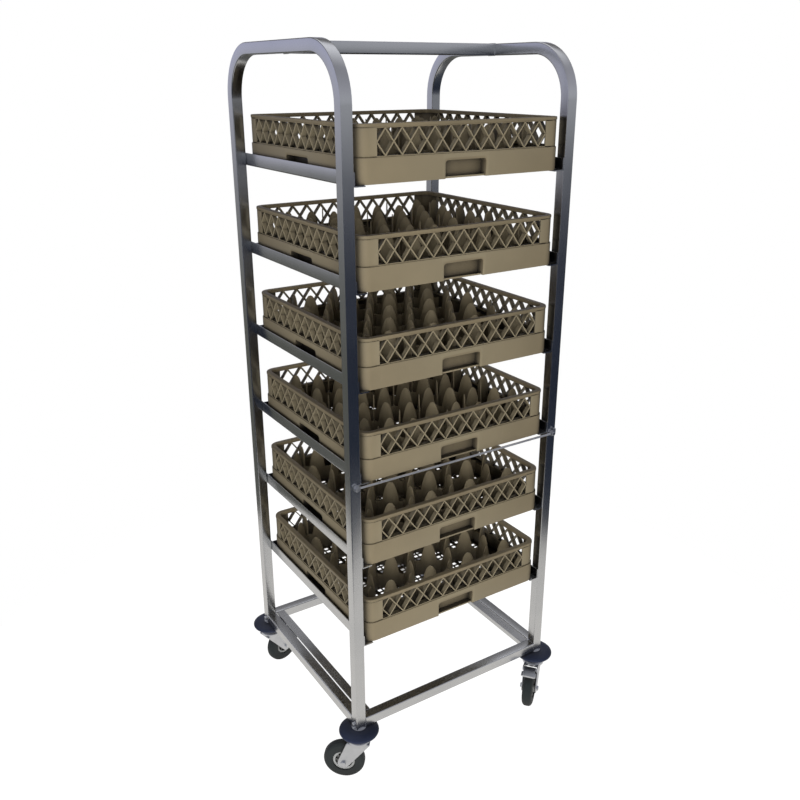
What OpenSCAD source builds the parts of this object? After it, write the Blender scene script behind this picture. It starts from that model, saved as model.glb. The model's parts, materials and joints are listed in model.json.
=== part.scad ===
// Rolling dolly that carries six dishwasher racks for glasses.
// Two bent square-tube hoops stand on swivel castors, joined by a top bar and base rails.
// The racks slide out to the front, along -Y, on pairs of angle runners.
// Millimetres, +Z up, origin on the floor under the middle of the dolly.

/* [Frame] */
// Width over the two hoops
frame_w = 566; // [540:1:640]
// Depth over the front and rear posts
frame_d = 525; // [500:1:600]
// Height of the hoops above the floor
frame_h = 1652; // [1400:1:1900]
// Side of the square tube
tube = 25; // [22:0.5:30]
// Wall of the square tube
tube_wall = 1.5; // [1.2:0.1:2.5]
// Outer radius of the tube's corners
tube_round = 3; // [2.6:0.1:4]
// Outer radius of the hoop's bends
bend_r = 115; // [80:1:125]

/* [Base ledges] */
// Width of the ledge inside each side rail
ledge_w = 22; // [16:0.5:30]
// Thickness of the ledge
ledge_t = 2.5; // [1.5:0.1:4]
// Depth of the lip turned down along the ledge
ledge_lip = 12; // [8:0.5:18]
// Open slit between a side rail and its ledge
ledge_slit = 2.5; // [1:0.1:5]

/* [Runners] */
// Height of the lowest rack above the post feet
low_rise = 229; // [160:1:240]
// Distance from the top of the hoops down to the top tier
top_room = 256.3; // [200:0.1:300]
// Height of the runner's upright flange above its shelf
runner_h = 25; // [15:0.5:34]
// Width of the runner's shelf
runner_w = 25; // [20:0.5:30]
// Thickness of the runner
runner_t = 2.5; // [1.5:0.1:3]
// Distance from the runner's ends to the outer faces of the posts
runner_inset = 2; // [1:0.5:6]
// Height of the stop turned up at the rear of the shelf
stop_h = 20; // [10:1:30]
// Gap between a rack and its stop
stop_gap = 2; // [1:0.5:6]

/* [Racks] */
// Compartments along each side of the racks, from the top tier down
rack_cells = [7, 7, 5, 7, 5, 5]; // [4:1:8]
// Gap between a rack and the runner's upright flange
rack_gap = 5.5; // [2:0.5:8]
// Distance from the front posts' faces back to the racks
rack_setback = 3.5; // [1:0.5:6]
// Distance from the racks' rear to the rear posts' outer faces
rack_rear_room = 21.5; // [15:0.5:40]
// Height of a rack
rack_h = 109; // [95:1:130]
// Corner radius of a rack
rack_round = 28; // [20:1:34]
// Thickness of the upper walls
rack_wall = 3; // [2:0.1:4]
// Height of the plain skirt
skirt_h = 48.5; // [44:0.5:56]
// How far the skirt stands proud of the upper walls
skirt_step = 2; // [1:0.1:3]
// Height of the top rim
rim_h = 6; // [4:0.5:8]
// Width of the top rim
rim_w = 13; // [8:0.5:15]
// Thickness of the open floor
floor_t = 4; // [3:0.5:6]
// Openings along each side of the floor
floor_cells = 9; // [6:1:12]
// Width of the floor's ribs
floor_rib = 8; // [5:0.5:12]
// Diamonds along each wall
diamonds = 11; // [8:1:13]
// Width of the lattice's struts
strut = 3; // [2:0.1:4]
// Depth of the lattice's struts
strut_deep = 12; // [6:0.5:14]
// Distance from a rack's side to the end of the lattice
lattice_inset = 45; // [38:1:60]
// Plain bands above and below the lattice
lattice_band = 2.5; // [1:0.5:5]

/* [Hand holds] */
// Width of the hand hold in each side
hold_w = 100; // [80:1:120]
// Height of the hand hold
hold_h = 35; // [28:1:40]
// Depth of the pocket behind the hand hold
hold_deep = 14; // [10:0.5:18]

/* [Dividers] */
// Thickness of the slats
slat_t = 2.4; // [1.6:0.1:3]
// Height of the slats' peaks above the floor
slat_peak = 88; // [70:1:88]
// Height of the slats where they cross
slat_dip = 40; // [30:1:60]
// Height of the slim fingers that stand where the slats cross
finger_h = 73; // [64:1:88]
// Width of these fingers
finger_w = 4; // [3:0.1:6]

/* [Tie rod] */
// Diameter of the rod
rod_d = 5; // [4:0.5:6]
// Tier under which the rod lies, counted from the top
rod_tier = 4; // [2:1:5]
// Drop from the rack's underside to the rod
rod_drop = 1.5; // [1:0.1:4]
// Diameter of the studs at its ends
stud_d = 6; // [5:0.5:7]
// Diameter of the eye and of the hook
eye_d = 14; // [12:0.5:16]

/* [Castors] */
// Diameter of the wheels
wheel_d = 100; // [90:1:110]
// Width of the tyres
tyre_w = 26; // [22:1:30]
// Diameter of the plastic hubs
hub_d = 54; // [46:1:60]
// Distance from the swivel axis back to the axle
trail = 37; // [34:1:44]
// Direction of each wheel: front left, front right, rear left, rear right
castor_turns = [141, -141, 15, 39]; // [-180:1:180]
// Gap between the wheel and the crown of the fork
wheel_gap = 8; // [7:1:16]
// Diameter of the fork's crown
crown_d = 56; // [50:1:62]
// Height of the fork's crown
crown_h = 18.5; // [14:0.5:26]
// Thickness of the fork's legs
leg_t = 2.5; // [2:0.1:4]
// Gap between a leg and the tyre
leg_gap = 4; // [3:0.5:6]
// Diameter of the buffer discs
disc_d = 95; // [80:1:100]
// Height of the buffer discs
disc_h = 18; // [14:1:28]
// Diameter of the king pins
king_d = 12; // [10:0.5:14]
// Diameter of the axle bolts
axle_d = 8; // [6:0.5:10]
// Distance from the axle to the tip of the brake pedal
pedal_reach = 36; // [34:1:40]
// Width of the brake pedal
pedal_w = 38; // [34:1:40]

/* [Hidden] */

// Colours
steel = [0.76, 0.77, 0.78];
zinc = [0.72, 0.74, 0.75];
taupe = [0.53, 0.49, 0.40];
slate_blue = [0.16, 0.19, 0.29];
rubber_grey = [0.17, 0.19, 0.19];
hub_grey = [0.70, 0.71, 0.70];

// Fineness, overrun of cuts and running clearances
$fn = 64;
corner_sides = 16;
hull_sides = 32;
hex_sides = 6;
over = 1;
pin_clear = 0.05;
run_gap = 0.2;
lap_clear = 0.1;

// Corners: side in X, side in Y
corner_side = [[-1, -1], [1, -1], [-1, 1], [1, 1]];
front_left = 0;
front_right = 1;
rear_left = 2;
rear_right = 3;
post_x = (frame_w - tube) / 2;
post_y = (frame_d - tube) / 2;
inner_w = frame_w - 2 * tube;
inner_d = frame_d - 2 * tube;

// Castor heights, from the floor up
wheel_r = wheel_d / 2;
crown_z = wheel_d + wheel_gap;
crown_top_z = crown_z + crown_h;
crown_rim_h = 7;
crown_neck_d = 36;
washer_h = 3;
washer_d = 28;
disc_z = crown_top_z + run_gap + washer_h;
disc_seat_d = 20;
flange_h = 1.5;
flange_d = 34;
foot_z = disc_z + disc_h + flange_h;
plug_h = 45;
plug_round = 2.5;
lock_bolt_rise = 10;
lock_bolt_z = foot_z + lock_bolt_rise;
lock_bolt_d = 6;
lock_head_d = 11;
lock_head_h = 4;
king_nut_d = 22;
king_nut_h = 6;

// Wheel and fork
leg_in = tyre_w / 2 + leg_gap;
leg_out = leg_in + leg_t;
leg_top_share = 0.98;
leg_foot_r = 14;
axle_head_d = 13;
axle_head_h = 5;
hub_boss_d = 24;
hub_rim_w = 20;
hub_rim_t = 6;
hub_web_t = 8;
tread_w = 12;
tread_bevel = 2;
tyre_shoulder = 6;
tyre_bead = 1;

// Brake pedal, measured from the swivel axis and the floor
braked = [front_right, rear_right];
brake_pin_d = 5;
brake_pin_back = 6;
brake_pin_rise = 12;
brake_pin_x = trail + brake_pin_back;
brake_pin_z = wheel_d + brake_pin_rise;
brake_ear_r = 6;
barrel_r = 5;
barrel_side_gap = 2;
pedal_t = 3;
pedal_fall = 6;
shoe_back = 22;
shoe_rise = 1;
shoe_x = trail + shoe_back;
shoe_w = 7;
shoe_z = wheel_d + shoe_rise;
shoe_half = 9;

// Racks
tiers = len(rack_cells);
tier_pitch = (frame_h - top_room - foot_z - low_rise) / max(tiers - 1, 1);
rack_w = inner_w - 2 * (runner_t + rack_gap);
rack_d = frame_d - rack_setback - rack_rear_room;
rack_y = (rack_rear_room - rack_setback) / -2;
rack_rear_y = rack_y + rack_d / 2;
wall_in = skirt_step + rack_wall;
rim_step = 1;
floor_margin = 26;
hold_round = 5;
hold_wall = 3;
hold_in = wall_in + hold_deep + hold_wall;
lattice_z = skirt_h + lattice_band;
lattice_h = rack_h - rim_h - lattice_band - lattice_z;
lattice_in = skirt_step + strut_deep;
mitre_gap = lap_clear;
wall_reach = max(rack_round, hold_in, lattice_in, rim_step + rim_w) + over;

// Dividers drop in between the pockets of the hand holds
slat_clear = 1;
slat_end = hold_in + slat_clear;
crest_shares = [1, 0.82, 0.6, 0.32, 0];
crest_w_share = 0.56;
crest_shape_share = 2;
lap_w = slat_t + 2 * lap_clear;

// Tie rod in front of the posts
stud_flange_h = 1.5;
stud_flange_d = 12;
stud_head_h = 2.5;
stud_head_d = 10;
eye_w = 6;
rod_z = tier_z(rod_tier) - rod_drop - rod_d / 2;
rod_front = frame_d / 2 + stud_flange_h + run_gap + eye_w / 2;
hook_tip_h = 12;
hook_play = 0.8;
lug_w = eye_d / 2;

function tier_z(tier) = foot_z + low_rise + (tiers - tier) * tier_pitch;
function wall_w(quarter) = quarter % 2 == 0 ? rack_w : rack_d;
function wall_y(quarter) = (quarter % 2 == 0 ? rack_d : rack_w) / -2;
function lattice_w(quarter) = wall_w(quarter) - 2 * lattice_inset;
function is_braked(corner) = len(search(corner, braked)) > 0;

// Flat shapes

module rounded_square(side, radius) {
    offset(r = radius, $fn = corner_sides)
        square(side - 2 * radius, center = true);
}

module rounded_plate(w, d, radius) {
    square([w - 2 * radius, d], center = true);
    square([w, d - 2 * radius], center = true);
    for (x = [-1, 1], y = [-1, 1])
        translate([x * (w / 2 - radius), y * (d / 2 - radius)])
            circle(r = radius);
}

module tube_section() {
    difference() {
        rounded_square(tube, tube_round);
        rounded_square(tube - 2 * tube_wall, tube_round - tube_wall);
    }
}

// Frame

module tube_along_z(length) {
    linear_extrude(length)
        tube_section();
}

module tube_along_x(length) {
    rotate([90, 0, 90])
        linear_extrude(length, center = true)
            tube_section();
}

module tube_along_y(length) {
    rotate([90, 0, 0])
        linear_extrude(length, center = true)
            tube_section();
}

module hoop_half() {
    bend_z = frame_h - bend_r;
    translate([0, post_y, foot_z])
        tube_along_z(bend_z - foot_z);
    translate([0, frame_d / 2 - bend_r, bend_z])
        rotate([90, 0, 90])
            rotate_extrude(angle = 90)
                translate([bend_r - tube / 2, 0])
                    tube_section();
}

module hoop(side) {
    color(steel)
        difference() {
            translate([side * post_x, 0, 0]) {
                hoop_half();
                mirror([0, 1, 0])
                    hoop_half();
                translate([0, 0, frame_h - tube / 2])
                    tube_along_y(frame_d - 2 * bend_r);
            }
            for (y = [-post_y, post_y])
                translate([side * post_x, y, lock_bolt_z])
                    rotate([0, side * 90, 0])
                        cylinder(d = lock_bolt_d + 2 * pin_clear, h = tube);
        }
}

module top_bar() {
    color(steel)
        translate([0, 0, frame_h - tube / 2])
            tube_along_x(inner_w);
}

module cross_rail(side) {
    color(steel)
        translate([0, side * post_y, foot_z + tube / 2])
            tube_along_x(inner_w);
}

module side_rail(side) {
    color(steel)
        translate([side * post_x, 0, foot_z + tube / 2])
            tube_along_y(inner_d);
}

module to_side(side) {
    mirror([side < 0 ? 1 : 0, 0, 0])
        children();
}

// Angle that closes the base beside a side rail, with its lip turned down
module ledge(side) {
    color(steel)
        to_side(side)
            translate([inner_w / 2 - ledge_slit - ledge_w, 0, foot_z + tube])
                rotate([90, 0, 0])
                    linear_extrude(inner_d, center = true) {
                        translate([0, -ledge_t])
                            square([ledge_w, ledge_t]);
                        translate([0, -ledge_lip])
                            square([ledge_t, ledge_lip]);
                    }
}

// Angle runner whose shelf lies at zero height, with a stop turned up at the rear
module runner() {
    runner_d = frame_d - 2 * runner_inset;
    translate([inner_w / 2, 0, 0]) {
        rotate([90, 0, 0])
            linear_extrude(runner_d, center = true) {
                translate([-runner_w, -runner_t])
                    square([runner_w, runner_t]);
                translate([-runner_t, -runner_t])
                    square([runner_t, runner_h + runner_t]);
            }
        translate([-runner_w, rack_rear_y + stop_gap, -runner_t])
            cube([runner_w, runner_t, stop_h + runner_t]);
    }
}

module runners(side) {
    color(steel)
        for (tier = [1 : tiers])
            translate([0, 0, tier_z(tier)])
                to_side(side)
                    runner();
}

// Tie rod and its studs

module on_front(side) {
    translate([side * post_x, -frame_d / 2, rod_z])
        rotate([90, 0, 0])
            children();
}

module stud(side) {
    color(zinc)
        on_front(side) {
            cylinder(d = stud_flange_d, h = stud_flange_h);
            cylinder(d = stud_d, h = stud_flange_h + eye_w + 2 * run_gap + stud_head_h);
            translate([0, 0, stud_flange_h + eye_w + 2 * run_gap])
                cylinder(d = stud_head_d, h = stud_head_h);
        }
}

module rod() {
    rod_length = 2 * post_x - eye_d;
    color(zinc)
        translate([0, -rod_front, rod_z])
            rotate([0, 90, 0])
                cylinder(d = rod_d, h = rod_length, center = true);
}

// Flat-sided block that joins an eye or a hook to the rod, centred on the stud
module rod_lug(side) {
    translate([side * lug_w / 2, 0, 0])
        cube([lug_w, rod_d, eye_w], center = true);
}

module rod_ends() {
    bore_d = stud_d + 2 * pin_clear;
    hook_d = stud_d + hook_play;
    color(zinc) {
        translate([-post_x, -rod_front, rod_z])
            rotate([90, 0, 0])
                difference() {
                    union() {
                        cylinder(d = eye_d, h = eye_w, center = true);
                        rod_lug(1);
                    }
                    cylinder(d = bore_d, h = eye_w + 2 * over, center = true);
                }
        translate([post_x, -rod_front, rod_z])
            rotate([90, 0, 0])
                difference() {
                    union() {
                        cylinder(d = eye_d, h = eye_w, center = true);
                        rod_lug(-1);
                        translate([eye_d / 2 - rod_d / 2, hook_tip_h / 2, 0])
                            cube([rod_d, hook_tip_h, eye_w], center = true);
                    }
                    cylinder(d = hook_d, h = eye_w + 2 * over, center = true);
                    translate([-hook_d / 2, -eye_d, -eye_w / 2 - over])
                        cube([eye_d + hook_d, eye_d, eye_w + 2 * over]);
                }
    }
}

// Racks

module in_rack(tier) {
    translate([0, rack_y, tier_z(tier)])
        children();
}

// Room that the front wall, or another wall turned into its place, takes up between the corners' mitres
module wall_room(quarter) {
    x = wall_w(quarter) / 2 - mitre_gap;
    y = wall_y(quarter);
    polygon([
        [-x - over, y - over], [x + over, y - over],
        [x - wall_reach, y + wall_reach], [wall_reach - x, y + wall_reach]
    ]);
}

// Length of wall between two insets and two heights, running halfway round its two corners
module wall_band(quarter, outside, inside, low, high) {
    w = wall_w(quarter);
    d = wall_w(quarter + 1);
    translate([0, 0, low])
        linear_extrude(high - low)
            intersection() {
                difference() {
                    rounded_plate(w - 2 * outside, d - 2 * outside, rack_round - outside);
                    rounded_plate(w - 2 * inside, d - 2 * inside, rack_round - inside);
                }
                wall_room(quarter);
            }
}

// Upright block on the inner side of a wall
module wall_block(quarter, length, inside, low, high) {
    translate([-length / 2, wall_y(quarter) + skirt_step, low])
        cube([length, inside - skirt_step, high - low]);
}

// Openings between the crossing struts: rows of diamonds, half hidden by the bands above and below
module lattice_openings(length) {
    pitch = length / diamonds;
    half = [pitch, lattice_h] / 2;
    share = 1 - strut / 2 * norm([1 / half.x, 1 / half.y]);
    rows = [for (i = [0 : diamonds - 1]) [(i + 1 / 2) * pitch, half.y]];
    ends = [for (i = [0 : diamonds], z = [0, lattice_h]) [i * pitch, z]];
    translate([-length / 2, 0])
        intersection() {
            square([length, lattice_h]);
            for (centre = concat(rows, ends))
                translate(centre)
                    polygon(share * [[-half.x, 0], [0, -half.y], [half.x, 0], [0, half.y]]);
        }
}

module lattice_cut(quarter) {
    translate([0, wall_y(quarter), lattice_z])
        rotate([90, 0, 0])
            linear_extrude(2 * (lattice_in + over), center = true)
                lattice_openings(lattice_w(quarter));
}

// Hand hold, open below and to the outside
module hold_cut(quarter) {
    translate([0, wall_y(quarter) + wall_in + hold_deep, 0])
        rotate([90, 0, 0])
            linear_extrude(wall_in + hold_deep + over) {
                square([hold_w - 2 * hold_round, 2 * hold_h], center = true);
                square([hold_w, 2 * (hold_h - hold_round)], center = true);
                for (x = [-1, 1])
                    translate([x * (hold_w / 2 - hold_round), hold_h - hold_round])
                        circle(r = hold_round);
            }
}

// One wall: plain skirt with a hand hold and its pocket, lattice of deep struts, rim
module wall(quarter) {
    difference() {
        union() {
            wall_band(quarter, 0, wall_in, 0, skirt_h);
            wall_band(quarter, skirt_step, wall_in, skirt_h, rack_h);
            wall_band(quarter, rim_step, rim_step + rim_w, rack_h - rim_h, rack_h);
            wall_block(quarter, lattice_w(quarter) + 2 * rack_wall, lattice_in,
                skirt_h - lattice_band, rack_h - rim_h / 2);
            wall_block(quarter, hold_w + 2 * hold_wall, hold_in, 0, hold_h + hold_wall);
        }
        hold_cut(quarter);
        lattice_cut(quarter);
    }
}

module walls(tier) {
    color(taupe)
        in_rack(tier)
            for (quarter = [0 : 3])
                rotate(quarter * 90)
                    wall(quarter);
}

module floor_openings() {
    span = [rack_w, rack_d] - 2 * [floor_margin, floor_margin];
    pitch = span / floor_cells;
    first = -(floor_cells - 1) / 2;
    for (i = [0 : floor_cells - 1], j = [0 : floor_cells - 1])
        translate([(first + i) * pitch.x, (first + j) * pitch.y])
            square([pitch.x - floor_rib, pitch.y - floor_rib], center = true);
}

// Open floor that fills the room between the walls and the pockets of their hand holds
module rack_floor(tier) {
    color(taupe)
        in_rack(tier)
            linear_extrude(floor_t)
                difference() {
                    rounded_plate(rack_w - 2 * wall_in, rack_d - 2 * wall_in, rack_round - wall_in);
                    for (quarter = [0 : 3])
                        rotate(quarter * 90)
                            translate([0, wall_y(quarter)])
                                square([hold_w + 2 * hold_wall, 2 * hold_in], center = true);
                    floor_openings();
                }
}

// Slat outline: a bell-shaped crest in each compartment, a flat dip at each crossing
module slat_outline(length, cells, slot_low, slot_high, fingers) {
    pitch = length / cells;
    reach = crest_w_share * pitch / 2;
    rise = slat_peak - slat_dip;
    last = len(crest_shares) - 1;
    up = [for (i = [0 : last]) -crest_shares[i]];
    down = [for (i = [1 : last]) crest_shares[last - i]];
    wave = [for (cell = [0 : cells - 1], u = concat(up, down))
        [(cell + 1 / 2) * pitch + u * reach, slat_dip + rise * (1 - pow(abs(u), crest_shape_share))]];
    translate([-length / 2, 0])
        difference() {
            union() {
                polygon(concat([[0, 0], [0, slat_dip]], wave, [[length, slat_dip], [length, 0]]));
                if (fingers)
                    for (i = [1 : cells - 1])
                        translate([i * pitch - finger_w / 2, 0])
                            square([finger_w, finger_h]);
            }
            for (i = [1 : cells - 1])
                translate([i * pitch - lap_w / 2, slot_low])
                    square([lap_w, slot_high - slot_low]);
        }
}

// Row of like slats along X, spaced along Y
module slat_row(cells, length, span, slot_low, slot_high, fingers) {
    for (i = [1 : cells - 1])
        translate([0, (i - cells / 2) * span / cells, floor_t])
            rotate([90, 0, 0])
                linear_extrude(slat_t, center = true)
                    slat_outline(length, cells, slot_low, slot_high, fingers);
}

// Slats along X, slotted from above, and slats along Y, slotted from below, with slim fingers at the crossings
module slats(tier) {
    cells = rack_cells[tier - 1];
    across = rack_w - 2 * slat_end;
    deep = rack_d - 2 * slat_end;
    color(taupe)
        in_rack(tier) {
            slat_row(cells, across, deep, slat_dip / 2 - lap_clear, slat_dip + over, false);
            rotate(90)
                slat_row(cells, deep, across, -over, slat_dip / 2, true);
        }
}

// Castors

module at_corner(corner) {
    translate([corner_side[corner].x * post_x, corner_side[corner].y * post_y, 0])
        children();
}

module in_castor(corner) {
    at_corner(corner)
        rotate(castor_turns[corner])
            children();
}

// Plug in the post's foot, flange, seat of the disc and king pin, with the bolt that locks the plug
module stem(corner) {
    side = corner_side[corner].x;
    plug_side = tube - 2 * tube_wall;
    color(zinc)
        at_corner(corner) {
            translate([0, 0, foot_z])
                linear_extrude(plug_h)
                    rounded_square(plug_side, plug_round);
            translate([0, 0, foot_z - flange_h])
                cylinder(d = flange_d, h = flange_h);
            translate([0, 0, disc_z])
                cylinder(d = disc_seat_d, h = disc_h);
            translate([0, 0, disc_z - washer_h])
                cylinder(d = washer_d, h = washer_h);
            translate([0, 0, crown_z - run_gap])
                cylinder(d = king_d, h = disc_z - crown_z);
            translate([0, 0, crown_z - run_gap - king_nut_h])
                cylinder(d = king_nut_d, h = king_nut_h, $fn = hex_sides);
            translate([0, 0, lock_bolt_z])
                rotate([0, side * 90, 0]) {
                    cylinder(d = lock_bolt_d, h = tube / 2);
                    translate([0, 0, tube / 2])
                        cylinder(d = lock_head_d, h = lock_head_h, $fn = hex_sides);
                }
        }
}

// Buffer disc: a flat lens with a round rim
module disc(corner) {
    bore_r = disc_seat_d / 2 + pin_clear;
    rim_r = disc_d / 2;
    rim_shares = [0.66, 0.86, 0.97, 1, 0.97, 0.86, 0.66];
    height_shares = [0, 0.14, 0.34, 0.52, 0.70, 0.88, 1];
    rim = [for (i = [0 : len(rim_shares) - 1]) [rim_shares[i] * rim_r, height_shares[i] * disc_h]];
    color(slate_blue)
        at_corner(corner)
            translate([0, 0, disc_z])
                rotate_extrude()
                    polygon(concat([[bore_r, 0]], rim, [[bore_r, disc_h]]));
}

module crown() {
    bore_r = king_d / 2 + pin_clear;
    translate([0, 0, crown_z])
        rotate_extrude()
            polygon([
                [bore_r, 0], [crown_d / 2, 0], [crown_d / 2, crown_rim_h],
                [crown_neck_d / 2, crown_h], [bore_r, crown_h]
            ]);
}

// Flat top of the fork that carries both legs
module bridge() {
    half_top = leg_top_share * crown_d / 2;
    translate([0, 0, crown_z])
        difference() {
            translate([-half_top, -leg_out, 0])
                cube([2 * half_top, 2 * leg_out, leg_t]);
            translate([0, 0, -over])
                cylinder(d = crown_neck_d, h = leg_t + 2 * over);
        }
}

// Side view of a fork leg, with an ear for the brake's pin where there is one
module leg_outline(braked_leg) {
    half_top = leg_top_share * crown_d / 2;
    hull() {
        translate([-half_top, crown_z])
            square([2 * half_top, leg_t]);
        translate([trail, wheel_r])
            circle(r = leg_foot_r, $fn = hull_sides);
    }
    if (braked_leg)
        hull() {
            translate([0, crown_z - brake_ear_r])
                square([half_top, brake_ear_r + leg_t]);
            translate([brake_pin_x, brake_pin_z])
                circle(r = brake_ear_r, $fn = hull_sides);
        }
}

module across_fork(x, z) {
    translate([x, 0, z])
        rotate([90, 0, 0])
            children();
}

module fork(corner) {
    color(zinc)
        in_castor(corner) {
            crown();
            bridge();
            difference() {
                for (side = [-1, 1])
                    translate([0, side * (leg_in + leg_out) / 2, 0])
                        rotate([90, 0, 0])
                            linear_extrude(leg_t, center = true)
                                leg_outline(is_braked(corner));
                across_fork(trail, wheel_r)
                    cylinder(d = axle_d + 2 * pin_clear, h = 2 * (leg_out + over), center = true);
            }
            if (is_braked(corner))
                across_fork(brake_pin_x, brake_pin_z)
                    cylinder(d = brake_pin_d, h = 2 * leg_out, center = true);
        }
}

module axle(corner) {
    color(zinc)
        in_castor(corner)
            across_fork(trail, wheel_r) {
                cylinder(d = axle_d, h = 2 * (leg_out + axle_head_h), center = true);
                for (side = [-1, 1])
                    translate([0, 0, side * (leg_out + axle_head_h / 2)])
                        cylinder(d = axle_head_d, h = axle_head_h, center = true, $fn = hex_sides);
            }
}

module hub(corner) {
    bore_r = axle_d / 2 + pin_clear;
    boss_r = hub_boss_d / 2;
    boss_half = leg_in - run_gap;
    rim_r = hub_d / 2;
    web_half = hub_web_t / 2;
    rim_half = hub_rim_w / 2;
    color(hub_grey)
        in_castor(corner)
            across_fork(trail, wheel_r)
                rotate_extrude()
                    polygon([
                        [bore_r, -boss_half], [boss_r, -boss_half], [boss_r, -web_half],
                        [rim_r - hub_rim_t, -web_half], [rim_r - hub_rim_t, -rim_half], [rim_r, -rim_half],
                        [rim_r, rim_half], [rim_r - hub_rim_t, rim_half], [rim_r - hub_rim_t, web_half],
                        [boss_r, web_half], [boss_r, boss_half], [bore_r, boss_half]
                    ]);
}

module tyre(corner) {
    half = tyre_w / 2;
    color(rubber_grey)
        in_castor(corner)
            across_fork(trail, wheel_r)
                rotate_extrude()
                    polygon([
                        [hub_d / 2, -half + tyre_bead], [hub_d / 2 + tyre_bead, -half],
                        [wheel_r - tyre_shoulder, -half],
                        [wheel_r - tread_bevel, -tread_w / 2 - tread_bevel],
                        [wheel_r, -tread_w / 2], [wheel_r, tread_w / 2],
                        [wheel_r - tread_bevel, tread_w / 2 + tread_bevel], [wheel_r - tyre_shoulder, half],
                        [hub_d / 2 + tyre_bead, half], [hub_d / 2, half - tyre_bead]
                    ]);
}

// Lever on the fork's cross pin, with a shoe above the tyre and a tread plate behind
module pedal(corner) {
    lever_w = 2 * (leg_in - barrel_side_gap);
    tip_x = trail + pedal_reach;
    color(zinc)
        in_castor(corner)
            difference() {
                union() {
                    rotate([90, 0, 0])
                        linear_extrude(lever_w, center = true) {
                            translate([brake_pin_x, brake_pin_z])
                                circle(r = barrel_r);
                            polygon([
                                [brake_pin_x, brake_pin_z + barrel_r - pedal_t],
                                [shoe_x, shoe_z + shoe_half],
                                [shoe_x, shoe_z],
                                [shoe_x + shoe_w, shoe_z],
                                [shoe_x + shoe_w, shoe_z + shoe_half],
                                [tip_x, brake_pin_z + barrel_r - pedal_fall - pedal_t],
                                [tip_x, brake_pin_z + barrel_r - pedal_fall],
                                [brake_pin_x, brake_pin_z + barrel_r]
                            ]);
                        }
                    rotate([90, 0, 0])
                        linear_extrude(pedal_w, center = true)
                            polygon([
                                [shoe_x, shoe_z + shoe_half],
                                [tip_x, brake_pin_z + barrel_r - pedal_fall - pedal_t],
                                [tip_x, brake_pin_z + barrel_r - pedal_fall],
                                [shoe_x, shoe_z + shoe_half + pedal_t]
                            ]);
                }
                across_fork(brake_pin_x, brake_pin_z)
                    cylinder(d = brake_pin_d + 2 * pin_clear, h = lever_w + 2 * over, center = true);
            }
}

hoop(-1);  // left_hoop
hoop(1);  // right_hoop
top_bar();
cross_rail(-1);  // front_rail
cross_rail(1);  // rear_rail
side_rail(-1);  // left_rail
side_rail(1);  // right_rail
ledge(-1);  // left_ledge
ledge(1);  // right_ledge
runners(-1);  // left_runners
runners(1);  // right_runners
stud(-1);  // pivot_stud
stud(1);  // keeper_stud
rod();
rod_ends();
walls(1);  // walls_1
walls(2);  // walls_2
walls(3);  // walls_3
walls(4);  // walls_4
walls(5);  // walls_5
walls(6);  // walls_6
rack_floor(1);  // floor_1
rack_floor(2);  // floor_2
rack_floor(3);  // floor_3
rack_floor(4);  // floor_4
rack_floor(5);  // floor_5
rack_floor(6);  // floor_6
slats(1);  // slats_1
slats(2);  // slats_2
slats(3);  // slats_3
slats(4);  // slats_4
slats(5);  // slats_5
slats(6);  // slats_6
stem(front_left);  // stem_front_left
stem(front_right);  // stem_front_right
stem(rear_left);  // stem_rear_left
stem(rear_right);  // stem_rear_right
disc(front_left);  // disc_front_left
disc(front_right);  // disc_front_right
disc(rear_left);  // disc_rear_left
disc(rear_right);  // disc_rear_right
fork(front_left);  // fork_front_left
fork(front_right);  // fork_front_right
fork(rear_left);  // fork_rear_left
fork(rear_right);  // fork_rear_right
axle(front_left);  // axle_front_left
axle(front_right);  // axle_front_right
axle(rear_left);  // axle_rear_left
axle(rear_right);  // axle_rear_right
hub(front_left);  // hub_front_left
hub(front_right);  // hub_front_right
hub(rear_left);  // hub_rear_left
hub(rear_right);  // hub_rear_right
tyre(front_left);  // tyre_front_left
tyre(front_right);  // tyre_front_right
tyre(rear_left);  // tyre_rear_left
tyre(rear_right);  // tyre_rear_right
pedal(front_right);  // pedal_front_right
pedal(rear_right);  // pedal_rear_right
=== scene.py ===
"""Visual model of a glass rack dolly: bent square tube, lattice racks on runners, tie rod and castors.

Lengths are in millimetres until a mesh is made, which is in metres. Every piece is a surface on a grid
or a profile carried along a path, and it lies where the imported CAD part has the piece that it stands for.
"""

import json
import logging
import math
from abc import ABC, abstractmethod
from dataclasses import dataclass, field
from enum import Enum, IntEnum
from typing import Any, Sequence

import bmesh
import bpy
import numpy as np
from mathutils import Matrix, Vector

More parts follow.
